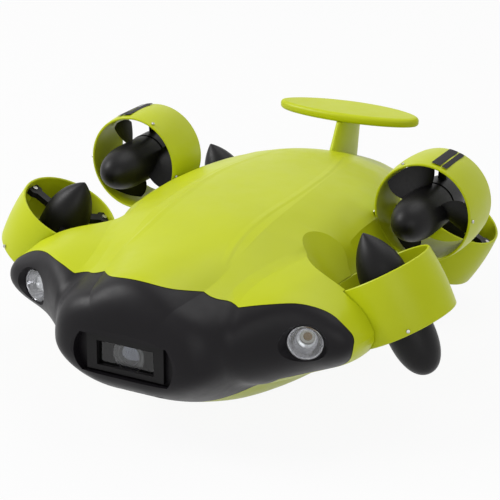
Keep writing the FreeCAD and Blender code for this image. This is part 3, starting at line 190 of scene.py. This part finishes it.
def emitterCeramic():
    # a drop of phosphor gel that looks ochre while the light is off, gritty and slightly glossy
    material, tree, shader, place = newMaterial("alumina and phosphor gel")
    grit = addNode(tree, "ShaderNodeTexNoise", {"Vector": place, "Scale": perMillimetre(0.3),
                                                "Detail": 3.0}).outputs["Fac"]
    addNode(tree, shader, {
        "Base Color": addNode(tree, "ShaderNodeValToRGB", {"Fac": grit},
                              stops=[(0.3, "#80663c"), (0.7, "#927648")]).outputs["Color"],
        "Roughness": 0.38, "IOR": 1.45, "Specular IOR Level": 0.3,
        "Normal": addNode(tree, "ShaderNodeBump", {
            "Height": grit, "Distance": 0.04 * mm}).outputs["Normal"]})
    return material


def ceramicTile():
    # fired alumina: chalky white, slightly speckled
    material, tree, shader, place = newMaterial("alumina, fired")
    speck = addNode(tree, "ShaderNodeTexVoronoi", {"Vector": place,
                                                   "Scale": perMillimetre(0.4)}).outputs["Distance"]
    addNode(tree, shader, {
        "Base Color": addNode(tree, "ShaderNodeValToRGB", {"Fac": speck},
                              stops=[(0.1, "#b9b4aa"), (0.6, "#d8d4cb")]).outputs["Color"],
        "Roughness": 0.55, "IOR": 1.6,
        "Normal": addNode(tree, "ShaderNodeBump", {
            "Height": speck, "Distance": 0.01 * mm}).outputs["Normal"]})
    return material


def clearAcrylic():
    # cast acrylic, polished: clear with a sharp reflection and barely visible polishing waves
    material, tree, shader, place = newMaterial("clear acrylic, polished")
    wave = addNode(tree, "ShaderNodeTexNoise", {"Vector": place, "Scale": perMillimetre(14),
                                                "Detail": 1.0}).outputs["Fac"]
    addNode(tree, shader, {
        "Base Color": addNode(tree, "ShaderNodeValToRGB", {"Fac": wave},
                              stops=[(0.3, "#f4f7f7"), (0.7, "#fbfdfd")]).outputs["Color"],
        "Roughness": 0.015, "IOR": 1.49, "Transmission Weight": 1.0,
        "Normal": addNode(tree, "ShaderNodeBump", {
            "Height": wave, "Distance": 0.02 * mm}).outputs["Normal"]})
    return material


def coatedLens():
    # multi-coated lens glass over a black well: dark, with a green and violet shimmer
    material, tree, shader, place = newMaterial("coated lens glass")
    depth = addNode(tree, "ShaderNodeTexNoise", {"Vector": place, "Scale": perMillimetre(9)}).outputs["Fac"]
    addNode(tree, shader, {
        "Base Color": addNode(tree, "ShaderNodeValToRGB", {"Fac": depth},
                              stops=[(0.3, "#0b0b10"), (0.7, "#14141c")]).outputs["Color"],
        "Roughness": 0.05, "IOR": 1.6, "Specular Tint": linearColour("#b9c4ff"),
        "Coat Weight": 1.0, "Coat Roughness": 0.02, "Coat IOR": 1.7})
    return material


def anodisedBlack():
    # aluminium, turned and black anodised: matt black with tool rings that catch the light
    material, tree, shader, place = newMaterial("aluminium, black anodised")
    grain = addNode(tree, "ShaderNodeTexNoise", {"Vector": place, "Scale": perMillimetre(0.5),
                                                 "Detail": 3.0}).outputs["Fac"]
    addNode(tree, shader, {
        "Base Color": addNode(tree, "ShaderNodeValToRGB", {"Fac": grain},
                              stops=[(0.3, "#18181a"), (0.7, "#26262a")]).outputs["Color"],
        "Metallic": 0.4,
        "Roughness": addNode(tree, "ShaderNodeMapRange", {
            "Value": grain, "From Min": 0.3, "From Max": 0.7,
            "To Min": 0.34, "To Max": 0.46}).outputs["Result"],
        "Normal": addNode(tree, "ShaderNodeBump", {
            "Height": grain, "Distance": 0.01 * mm}).outputs["Normal"]})
    return material


def solderMask():
    # green solder mask over copper tracks: a glossy skin with raised straight tracks
    material, tree, shader, place = newMaterial("solder mask on glass epoxy")
    tracks = addNode(tree, "ShaderNodeTexBrick", {"Vector": place, "Scale": perMillimetre(7),
                                                  "Mortar Size": 0.06, "Mortar Smooth": 0.2})
    line = tracks.outputs["Fac"]
    addNode(tree, shader, {
        "Base Color": addNode(tree, "ShaderNodeValToRGB", {"Fac": line},
                              stops=[(0.2, "#0f4023"), (0.8, "#1f6b3b")]).outputs["Color"],
        "Roughness": 0.28, "IOR": 1.52,
        "Normal": addNode(tree, "ShaderNodeBump", {
            "Height": line, "Distance": 0.04 * mm}).outputs["Normal"]})
    return material


def siliconeRubber():
    # silicone rubber, moulded: dull near black that picks up dust
    material, tree, shader, place = newMaterial("silicone rubber")
    dust = addNode(tree, "ShaderNodeTexNoise", {"Vector": place, "Scale": perMillimetre(1.2),
                                                "Detail": 5.0}).outputs["Fac"]
    addNode(tree, shader, {
        "Base Color": addNode(tree, "ShaderNodeValToRGB", {"Fac": dust},
                              stops=[(0.45, "#151416"), (0.8, "#2b292c")]).outputs["Color"],
        "Roughness": 0.72, "IOR": 1.41, "Sheen Weight": 0.12, "Sheen Roughness": 0.5,
        "Normal": addNode(tree, "ShaderNodeBump", {
            "Height": dust, "Distance": 0.03 * mm}).outputs["Normal"]})
    return material


def shrinkWrap():
    # PVC shrink sleeve over cells: glossy blue, in broad waves, with small creases in its colour
    material, tree, shader, place = newMaterial("PVC shrink sleeve")
    cells = addNode(tree, "ShaderNodeTexWave", {"Vector": place, "Scale": perMillimetre(18.5) / waveShare,
                                                "Distortion": 0.0}, bands_direction="Y")
    crease = addNode(tree, "ShaderNodeTexNoise", {"Vector": place, "Scale": perMillimetre(6),
                                                  "Detail": 4.0}).outputs["Fac"]
    addNode(tree, shader, {
        "Base Color": addNode(tree, "ShaderNodeValToRGB", {"Fac": crease},
                              stops=[(0.3, "#1a2f63"), (0.7, "#24407f")]).outputs["Color"],
        "Roughness": 0.25, "IOR": 1.53,
        "Normal": addNode(tree, "ShaderNodeBump", {
            "Height": cells.outputs["Fac"], "Distance": 0.5 * mm}).outputs["Normal"]})
    return material


def closedCellFoam():
    # closed-cell foam, sawn: pale with small open bubbles
    material, tree, shader, place = newMaterial("closed-cell foam, cut")
    bubbles = addNode(tree, "ShaderNodeTexVoronoi", {"Vector": place,
                                                     "Scale": perMillimetre(1.6)}).outputs["Distance"]
    # the colour darkens towards each bubble's middle, where the bump sinks it: painted shade in the hollows
    addNode(tree, shader, {
        "Base Color": addNode(tree, "ShaderNodeValToRGB", {"Fac": bubbles},
                              stops=[(0.05, "#b9b2a2"), (0.5, "#dcd6c8")]).outputs["Color"],
        "Roughness": 0.85, "IOR": 1.4,
        "Normal": addNode(tree, "ShaderNodeBump", {
            "Height": bubbles, "Distance": 0.3 * mm}).outputs["Normal"]})
    return material


def printedBlack():
    # pad-printed ink: a thin semi-matt black film with a slightly starved edge
    material, tree, shader, place = newMaterial("pad-printed ink, black")
    film = addNode(tree, "ShaderNodeTexNoise", {"Vector": place, "Scale": perMillimetre(0.6),
                                                "Detail": 3.0}).outputs["Fac"]
    addNode(tree, shader, {
        "Base Color": addNode(tree, "ShaderNodeValToRGB", {"Fac": film},
                              stops=[(0.3, "#131213"), (0.7, "#1d1b1e")]).outputs["Color"],
        "Roughness": addNode(tree, "ShaderNodeMapRange", {
            "Value": film, "From Min": 0.3, "From Max": 0.7,
            "To Min": 0.5, "To Max": 0.6}).outputs["Result"],
        "IOR": 1.5, "Specular IOR Level": 0.15})
    return material


hullAbs = mouldedAbs("ABS, satin moulded, lime", ("#bec810", "#c5cf1a"), 0.38, 0.22, 0.7, 0.012)
maskAbs = mouldedAbs("ABS, satin moulded, black", ("#0e0c0f", "#141215"), 0.42, 0.16, 0.6, 0.02)
plateGrey = mouldedAbs("ABS, satin moulded, grey", ("#4c4a4f", "#545257"), 0.45, 0.3, 0.5, 0.01)
nylon = filledNylon()
steel = stainlessSteel()
acrylic = clearAcrylic()
mirror = metallisedReflector()
phosphor = emitterCeramic()
alumina = ceramicTile()
lensGlass = coatedLens()
anodised = anodisedBlack()
rubber = siliconeRubber()
ink = printedBlack()
slotFinish = {
    "hull_plastic": hullAbs, "mask_plastic": maskAbs, "black_plastic": nylon,
    "winding_copper": enamelledCopper(), "bearing_plastic": bushPolymer(), "steel": steel,
    "reflector_metal": mirror, "led_board": alumina, "clear_glass": acrylic, "lens_black": anodised,
    "circuit_board": solderMask(), "seal_rubber": rubber, "battery_wrap": shrinkWrap(),
    "foam": closedCellFoam()}
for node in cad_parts.values():
    for materialSlot in node.material_slots:
        materialSlot.material = slotFinish[materialSlot.material.name.split(".")[0]]
print("materials on the parts")


# making pieces

def addPiece(name, mesh, body, material, smooth=True):
    piece = bpy.data.objects.new(name, mesh)
    bpy.context.scene.collection.objects.link(piece)
    for face in mesh.polygons:
        face.use_smooth = smooth
    mesh.materials.append(material)
    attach(piece, body)
    return piece


def finishMesh(name, work, sharpAngle=35):
    bmesh.ops.remove_doubles(work, verts=work.verts, dist=1e-7)
    bmesh.ops.recalc_face_normals(work, faces=work.faces)
    for edge in work.edges:
        if len(edge.link_faces) == 2 and edge.calc_face_angle(0.0) > math.radians(sharpAngle):
            edge.smooth = False
    mesh = bpy.data.meshes.new(name)
    work.to_mesh(mesh)
    work.free()
    return mesh


def onCircle(radius, turn, height):
    return Vector((radius * math.cos(turn), radius * math.sin(turn), height)) * mm


def addRing(work, place, radius, height, steps):
    return [work.verts.new(place @ onCircle(radius, 2 * math.pi * i / steps, height)) for i in range(steps)]


def addLathe(work, outline, place, steps=48):
    # outline is (radius, height) in mm about local Z; a radius of 0 closes the form
    rings = []
    for radius, height in outline:
        if radius == 0:
            rings.append([work.verts.new(place @ onCircle(0, 0, height))])
        else:
            rings.append(addRing(work, place, radius, height, steps))
    for lower, upper in zip(rings, rings[1:]):
        for i in range(steps):
            j = (i + 1) % steps
            if len(lower) == 1:
                work.faces.new((lower[0], upper[i], upper[j]))
            elif len(upper) == 1:
                work.faces.new((lower[i], lower[j], upper[0]))
            else:
                work.faces.new((lower[i], lower[j], upper[j], upper[i]))


def standAt(point, direction):
    # a place whose Z points along direction, point in mm
    z = Vector(direction).normalized()
    x = (Vector((0, 1, 0)) if abs(z.y) < 0.5 else Vector((1, 0, 0)))
    x = (x - z * x.dot(z)).normalized()
    turn = Matrix((x, z.cross(x), z)).transposed().to_4x4()
    return Matrix.Translation(Vector(point) * mm) @ turn


thrusters = {}
for side, word in ((1, "port"), (-1, "starboard")):
    thrusters["front_" + word] = standAt((114.8 * side, -70.4, 95.7), (-0.5 * side, 0, 0.866))
    thrusters["side_" + word] = standAt((111.3 * side, 6.2, 107.7), (0, -1, 0))
    thrusters["rear_" + word] = standAt((96.2 * side, 116.0, 71.3), (0.469 * side, 0, 0.883))

# screws
screwSizes = {"socketShare": 0.5, "socketDepth": 0.55, "edge": 0.22, "sides": 24}


def addScrew(work, place, headRadius, headHeight, shankRadius, length):
    # a cheese head with a hexagon socket; the head's top is at local z = headHeight
    edge = min(screwSizes["edge"] * headHeight, 0.4)
    addLathe(work, [(0, -length), (shankRadius * 0.7, -length), (shankRadius, -length + 0.5),
                    (shankRadius, 0), (headRadius, 0), (headRadius, headHeight - edge),
                    (headRadius - edge * 0.4, headHeight - edge * 0.25),
                    (headRadius - edge, headHeight)], place, screwSizes["sides"])
    socket = headRadius * screwSizes["socketShare"]
    depth = headHeight * (1 - screwSizes["socketDepth"])
    rim = addRing(work, place, headRadius - edge, headHeight, screwSizes["sides"])
    mouth = addRing(work, place, socket, headHeight, 6)
    foot = addRing(work, place, socket, depth, 6)
    centre = work.verts.new(place @ onCircle(0, 0, depth - 0.12))
    share = screwSizes["sides"] // 6  # rim points beside each side of the socket
    for i in range(6):
        j = (i + 1) % 6
        beside = tuple(rim[(i * share + k) % screwSizes["sides"]] for k in range(share + 1))
        work.faces.new((mouth[i], mouth[j], foot[j], foot[i]))
        work.faces.new((foot[i], foot[j], centre))
        work.faces.new((mouth[j], mouth[i]) + beside)


def screwPiece(name, screws, replaced=None):
    work = bmesh.new()
    for screw in screws:
        addScrew(work, *screw)
    piece = addPiece(name, finishMesh(name, work), "vehicle", steel)
    if replaced:
        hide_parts(replaced)


# (x, y) of each screw, the height of its seat, and the sizes that addScrew takes
bellyScrews = {
    "shell": {"at": [(28, -103.5), (-28, -103.5), (52, 62), (-52, 62), (12, 104), (-12, 104)],
              "seat": 9, "sizes": (3.0, 3.0, 1.5, 18.8)},
    "plate": {"at": [(x, -30 + y) for x in (-19, 19) for y in (-25, 25)],
              "seat": 2, "sizes": (2.9, 1.8, 1.5, 4.9)}}
for word, group in bellyScrews.items():
    screwPiece(word + "_screw_set", [(standAt((x, y, group["seat"]), (0, 0, -1)),) + group["sizes"]
                                     for x, y in group["at"]], word + "_screws")

# screws in the ducts' walls, with their turns about each duct in degrees
ductScrews = {"headRadius": 1.15, "proud": 0.28, "sunk": 0.5, "inset": 2.6, "length": 40.0, "radius": 35.3,
              "shankRadius": 0.6, "shankLength": 1.4,
              "side": (-1, 117, 189), "front": (-152, -32, 88), "rear": (-152, -32, 88)}


def ductWallScrews(name, place):
    kind, word = name.split("_")
    height = -ductScrews["inset"] if kind == "side" else ductScrews["inset"] - ductScrews["length"]
    sense = -1 if kind == "side" else 1
    screws = []
    for degrees in ductScrews[kind]:
        turn = math.radians(degrees if word == "port" else 180 + sense * degrees)
        seat = place @ onCircle(ductScrews["radius"] - ductScrews["sunk"], turn, height)
        stand = standAt(seat / mm, place.to_3x3() @ onCircle(1, turn, 0))
        screws.append((stand, ductScrews["headRadius"], ductScrews["sunk"] + ductScrews["proud"],
                       ductScrews["shankRadius"], ductScrews["shankLength"]))
    screwPiece(name + "_wall_screws", screws)


for name, place in thrusters.items():
    ductWallScrews(name, place)
print("screws set")

# printed stripes on the side ducts
stripes = {"radius": ductScrews["radius"], "lift": 0.08, "near": -3.2, "middle": -20.0, "far": -36.6,
           "bands": ((73.3, 83.8), (65.5, 71.6)), "steps": 10, "corner": 0.5}


def addStripe(work, place, low, high, mirrored):
    # a thin film that follows the wall, with short bevelled ends
    radius = stripes["radius"] + stripes["lift"]
    columns = []
    for i in range(stripes["steps"] + 1):
        degrees = low + (high - low) * i / stripes["steps"]
        turn = math.radians(180 - degrees if mirrored else degrees)
        pull = stripes["corner"] if i in (0, stripes["steps"]) else 0
        columns.append([work.verts.new(place @ onCircle(radius, turn, height))
                        for height in (stripes["near"] - pull, stripes["middle"], stripes["far"] + pull)])
    for left, right in zip(columns, columns[1:]):
        for k in range(2):
            work.faces.new((left[k], right[k], right[k + 1], left[k + 1]))


for word in ("port", "starboard"):
    work = bmesh.new()
    for low, high in stripes["bands"]:
        addStripe(work, thrusters["side_" + word], low, high, word == "starboard")
    addPiece("side_%s_stripes" % word, finishMesh("stripes", work), "vehicle", ink)
print("stripes printed")

# soft creases that run back along the top of the shell
crease = {"path": ((35.5, -128), (32.5, -104), (33, -64), (35, -18), (32, 28), (24, 68), (17, 92)),
          "section": ((-4.5, -0.05), (-2.5, 0.08), (-0.8, 0.3), (0, 0.36), (0.7, 0.3), (1.6, 0.06),
                      (2.6, -0.05)),
          "steps": 90,
          "under": -0.35, "above": 250}
shellTree = BVHTree.FromObject(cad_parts["upper_shell"], bpy.context.evaluated_depsgraph_get())


def shellHeight(x, y):
    return shellTree.ray_cast(Vector((x, y, crease["above"])) * mm, Vector((0, 0, -1)))[0].z / mm


def creasePoint(share):
    place = share * (len(crease["path"]) - 1)
    i = min(int(place), len(crease["path"]) - 2)
    a, b = (Vector(crease["path"][k]) for k in (i, i + 1))
    before = Vector(crease["path"][max(i - 1, 0)])
    after = Vector(crease["path"][min(i + 2, len(crease["path"]) - 1)])
    u = place - i
    return 0.5 * (2 * a + (b - before) * u + (2 * before - 5 * a + 4 * b - after) * u ** 2
                  + (3 * a - before - 3 * b + after) * u ** 3)


for side, word in ((1, "port"), (-1, "starboard")):
    work = bmesh.new()
    rows = []
    for i in range(crease["steps"] + 1):
        share = i / crease["steps"]
        x, y = creasePoint(share)
        fade = min(1.0, share * 12, (1 - share) * 5)  # dies away at both ends
        outline = [(across, rise * fade if rise > 0 else rise) for across, rise in crease["section"]]
        outline += [(crease["section"][-1][0], crease["under"]), (crease["section"][0][0], crease["under"])]
        row = []
        for across, rise in outline:
            out = (x + across) * side
            row.append(work.verts.new(Vector((out, y, shellHeight(out, y) + rise)) * mm))
        rows.append(row)
    for near, far in zip(rows, rows[1:]):
        for k in range(len(near)):
            m = (k + 1) % len(near)
            work.faces.new((near[k], near[m], far[m], far[k]))
    work.faces.new(rows[0])
    work.faces.new(rows[-1])
    addPiece(word + "_crease", finishMesh("crease", work), "vehicle", hullAbs)
print("creases laid")

# headlights
headlight = {"centre": (96.8, -139.0, 67.8), "yaw": 17.0, "mouth": 11.0, "throat": 4.8, "depth": 9.0,
             "back": -11.0, "lip": -1.0, "sectors": 24, "rows": 7, "flute": 0.16, "rim": 0.8}
chip = {"half": 2.8, "boardRadius": 9.5, "boardThickness": 1.6, "domeRise": 0.9}


def lampPlace(side):
    yaw = math.radians(headlight["yaw"])
    x, y, z = headlight["centre"]
    return standAt((x * side, y, z), (math.sin(yaw) * side, -math.cos(yaw), 0))


def reflectorMesh(name, place):
    # a deep bowl of shallow flutes, closed at the back
    work = bmesh.new()
    steps = headlight["sectors"] * 4
    throat = headlight["throat"]
    widening = headlight["mouth"] - headlight["rim"] - throat
    rows = []
    for k in range(headlight["rows"] + 1):
        share = k / headlight["rows"]
        radius = throat + widening * share ** 0.75
        height = -headlight["depth"] + (headlight["depth"] + headlight["lip"]) * share ** 1.6
        swell = headlight["flute"] * share * (1 - share) * 4
        ring = []
        for i in range(steps):
            turn = 2 * math.pi * i / steps
            flute = swell * abs(math.sin(turn * headlight["sectors"] / 2))
            ring.append(work.verts.new(place @ onCircle(radius - flute, turn, height)))
        rows.append(ring)
    for radius, height in ((headlight["mouth"], headlight["lip"]), (headlight["mouth"], headlight["back"]),
                           (throat, headlight["back"])):
        rows.append(addRing(work, place, radius, height, steps))
    rows.append(rows[0])
    for lower, upper in zip(rows, rows[1:]):
        for i in range(steps):
            j = (i + 1) % steps
            work.faces.new((lower[i], lower[j], upper[j], upper[i]))
    return finishMesh(name, work, 50)


def emitterMeshes(name, place):
    board, gel = bmesh.new(), bmesh.new()
    top = headlight["back"]
    low = top - chip["boardThickness"]
    wide, half, rise = chip["boardRadius"], chip["half"], chip["domeRise"]
    addLathe(board, [(0, low), (wide - 0.3, low), (wide, low + 0.3), (wide, top - 0.2), (wide - 0.2, top),
                     (half + 0.9, top), (half + 0.8, top + 0.35), (0, top + 0.35)], place, 40)
    addLathe(gel, [(0, top + 0.36), (half, top + 0.36), (half * 0.98, top + 0.55), (half * 0.86, top + 0.78),
                   (half * 0.6, top + rise), (0, top + rise + 0.04)], place, 40)
    return finishMesh(name + "_board", board), finishMesh(name + "_gel", gel)


for side, word in ((1, "port"), (-1, "starboard")):
    place = lampPlace(side)
    bowl = addPiece(word + "_fluted_reflector", reflectorMesh("reflector", place), "vehicle",
                    mirror)
    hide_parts(word + "_reflector")
    boardMesh, gelMesh = emitterMeshes(word, place)
    board = addPiece(word + "_emitter_board", boardMesh, "vehicle", alumina)
    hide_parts(word + "_led")
    addPiece(word + "_phosphor_gel", gelMesh, "vehicle", phosphor)
print("headlights built")

# camera
camera = {"z": 56.5, "front": -182.6, "back": -166.0, "radius": 10.7, "plateFront": -182.7,
          "plateReach": 30.0, "ringRadius": 12.7, "plateHalf": (21.7, 9.8)}


def cameraPieces():
    axis = standAt((0, camera["back"], camera["z"]), (0, -1, 0))
    reach = camera["back"] - camera["front"]
    body = bmesh.new()
    r = camera["radius"]
    addLathe(body, [(0, 0), (r - 1.2, 0), (r - 1.2, reach * 0.35), (r - 0.4, reach * 0.4),
                    (r - 0.4, reach * 0.5), (r, reach * 0.55), (r, reach - 0.5), (r - 0.5, reach),
                    (r - 1.6, reach), (r - 1.9, reach - 0.6), (r - 2.9, reach - 0.6), (r - 3.1, reach - 0.2),
                    (r - 3.7, reach - 0.2), (r - 4.2, reach - 1.6), (r - 5.0, reach - 2.4),
                    (0, reach - 2.4)], axis, 64)
    barrel = addPiece("lens_barrel_rings", finishMesh("barrel", body, 30), "vehicle", anodised)
    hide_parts("lens_barrel")
    plate = bmesh.new()
    step = camera["plateFront"] - camera["back"]
    outer, ring, bore = camera["plateReach"], camera["ringRadius"], r + 0.1
    addLathe(plate, [(bore, -step - 0.8), (bore, -step - 0.35), (ring - 0.15, -step - 0.35), (ring, -step),
                     (outer, -step), (outer, -step - 0.8), (bore, -step - 0.8)], axis, 96)
    halfX, halfZ = camera["plateHalf"]
    centre = Vector((0, 0, camera["z"] * mm))
    for direction, half in (((1, 0, 0), halfX), ((-1, 0, 0), halfX), ((0, 0, 1), halfZ), ((0, 0, -1), halfZ)):
        bmesh.ops.remove_doubles(plate, verts=plate.verts, dist=1e-7)
        cut = bmesh.ops.bisect_plane(plate, geom=plate.verts[:] + plate.edges[:] + plate.faces[:],
                                     plane_co=centre + Vector(direction) * half * mm, plane_no=direction,
                                     clear_outer=True)
        bmesh.ops.holes_fill(plate, edges=[e for e in cut["geom_cut"] if isinstance(e, bmesh.types.BMEdge)])
    addPiece("camera_faceplate", finishMesh("faceplate", plate, 30), "vehicle", plateGrey)
    glass = bmesh.new()
    bulge = r - 4.3
    addLathe(glass, [(0, reach - 2.3), (bulge, reach - 2.3), (bulge, reach - 1.5), (bulge * 0.8, reach - 1.0),
                     (bulge * 0.5, reach - 0.7), (bulge * 0.25, reach - 0.58), (0, reach - 0.55)], axis, 64)
    addPiece("front_lens_element", finishMesh("frontGlass", glass), "vehicle", lensGlass)


cameraPieces()
print("camera built")

# studio
studio = {"floorHalf": 4.0, "floorDrop": 0.4, "white": "#fefefe", "matt": "#e8e8e8", "glowShare": 0.94,
          "ambient": "#f2f4f6", "ambientStrength": 0.34, "lampAim": (0.0, 0.0, 0.05),
          "key": ((-1.7, -0.7, 1.5), 1.2, 36.0), "fill": ((1.5, -1.6, 0.8), 1.6, 9.0),
          "top": ((0.3, 0.7, 1.9), 1.6, 12.0)}
# degrees and mm; the lens and the sensor's width in mm
view = {"azimuth": 27.291, "elevation": 20.828, "roll": 0.48, "distance": 1189.293,
        "shift": (-10.501, 52.93), "aim": (0.0, -1.0, 7.3), "lens": 121.184,
        "sensor": 36.0, "near": 10.0, "far": 50000.0}


def seenDirectly(tree):
    # 1 for what the camera sees, also in a reflection or through glass, and 0 for diffuse light
    path = addNode(tree, "ShaderNodeLightPath")
    either = addNode(tree, "ShaderNodeMath", {0: path.outputs["Is Camera Ray"],
                                              1: path.outputs["Is Glossy Ray"]}, operation="MAXIMUM")
    return addNode(tree, "ShaderNodeMath", {0: either.outputs[0], 1: path.outputs["Is Transmission Ray"]},
                   operation="MAXIMUM").outputs[0]


def makeFloor():
    work = bmesh.new()
    bmesh.ops.create_grid(work, x_segments=8, y_segments=8, size=studio["floorHalf"])
    for vert in work.verts:
        vert.co.z = -studio["floorDrop"] * mm
    mesh = bpy.data.meshes.new("floor")
    work.to_mesh(mesh)
    work.free()
    floor = bpy.data.objects.new("floor", mesh)
    bpy.context.scene.collection.objects.link(floor)
    material = bpy.data.materials.new("studio floor, matt white")
    material.use_nodes = True
    tree = material.node_tree
    tree.nodes.remove(tree.nodes["Principled BSDF"])
    share = addNode(tree, "ShaderNodeMath", {0: seenDirectly(tree), 1: studio["glowShare"]},
                    operation="MULTIPLY")
    matt = addNode(tree, "ShaderNodeBsdfDiffuse", {"Color": linearColour(studio["matt"])})
    glow = addNode(tree, "ShaderNodeEmission", {"Color": linearColour(studio["white"]), "Strength": 1.0})
    mixed = addNode(tree, "ShaderNodeMixShader", {0: share.outputs[0], 1: matt.outputs[0],
                                                  2: glow.outputs[0]})
    addNode(tree, tree.nodes["Material Output"], {"Surface": mixed.outputs[0]})
    mesh.materials.append(material)


def makeWorld():
    world = bpy.data.worlds.new("studio")
    bpy.context.scene.world = world
    world.use_nodes = True
    tree = world.node_tree
    ambient = addNode(tree, tree.nodes["Background"], {"Color": linearColour(studio["ambient"]),
                                                       "Strength": studio["ambientStrength"]})
    white = addNode(tree, "ShaderNodeBackground", {"Color": linearColour(studio["white"]), "Strength": 1.0})
    mixed = addNode(tree, "ShaderNodeMixShader", {0: seenDirectly(tree), 1: ambient.outputs[0],
                                                  2: white.outputs[0]})
    addNode(tree, tree.nodes["World Output"], {"Surface": mixed.outputs[0]})


def makeLamp(name, place, size, power):
    light = bpy.data.lights.new(name, "AREA")
    light.shape = "DISK"
    light.size = size
    light.energy = power
    lamp = bpy.data.objects.new(name, light)
    bpy.context.scene.collection.objects.link(lamp)
    lamp.location = place
    lamp.rotation_euler = (Vector(studio["lampAim"]) - Vector(place)).to_track_quat("-Z", "Y").to_euler()


def makeCamera():
    azimuth, elevation, roll = (math.radians(view[key]) for key in ("azimuth", "elevation", "roll"))
    back = Vector((math.sin(azimuth) * math.cos(elevation), -math.cos(azimuth) * math.cos(elevation),
                   math.sin(elevation)))
    level = Vector((math.cos(azimuth), math.sin(azimuth), 0))
    upright = back.cross(level)
    right = level * math.cos(roll) + upright * math.sin(roll)
    up = upright * math.cos(roll) - level * math.sin(roll)
    spot = Vector(view["aim"]) + back * view["distance"] + right * view["shift"][0] + up * view["shift"][1]
    data = bpy.data.cameras.new("viewpoint")
    data.lens = view["lens"]
    data.sensor_width = view["sensor"]
    data.clip_start = view["near"] * mm
    data.clip_end = view["far"] * mm
    eye = bpy.data.objects.new("viewpoint", data)
    bpy.context.scene.collection.objects.link(eye)
    eye.matrix_world = Matrix.Translation(spot * mm) @ Matrix((right, up, back)).transposed().to_4x4()
    bpy.context.scene.camera = eye


makeFloor()
makeWorld()
for name in ("key", "fill", "top"):
    makeLamp(name + "_softbox", *studio[name])
makeCamera()
bpy.context.scene.view_settings.view_transform = "Standard"
print("studio lit")
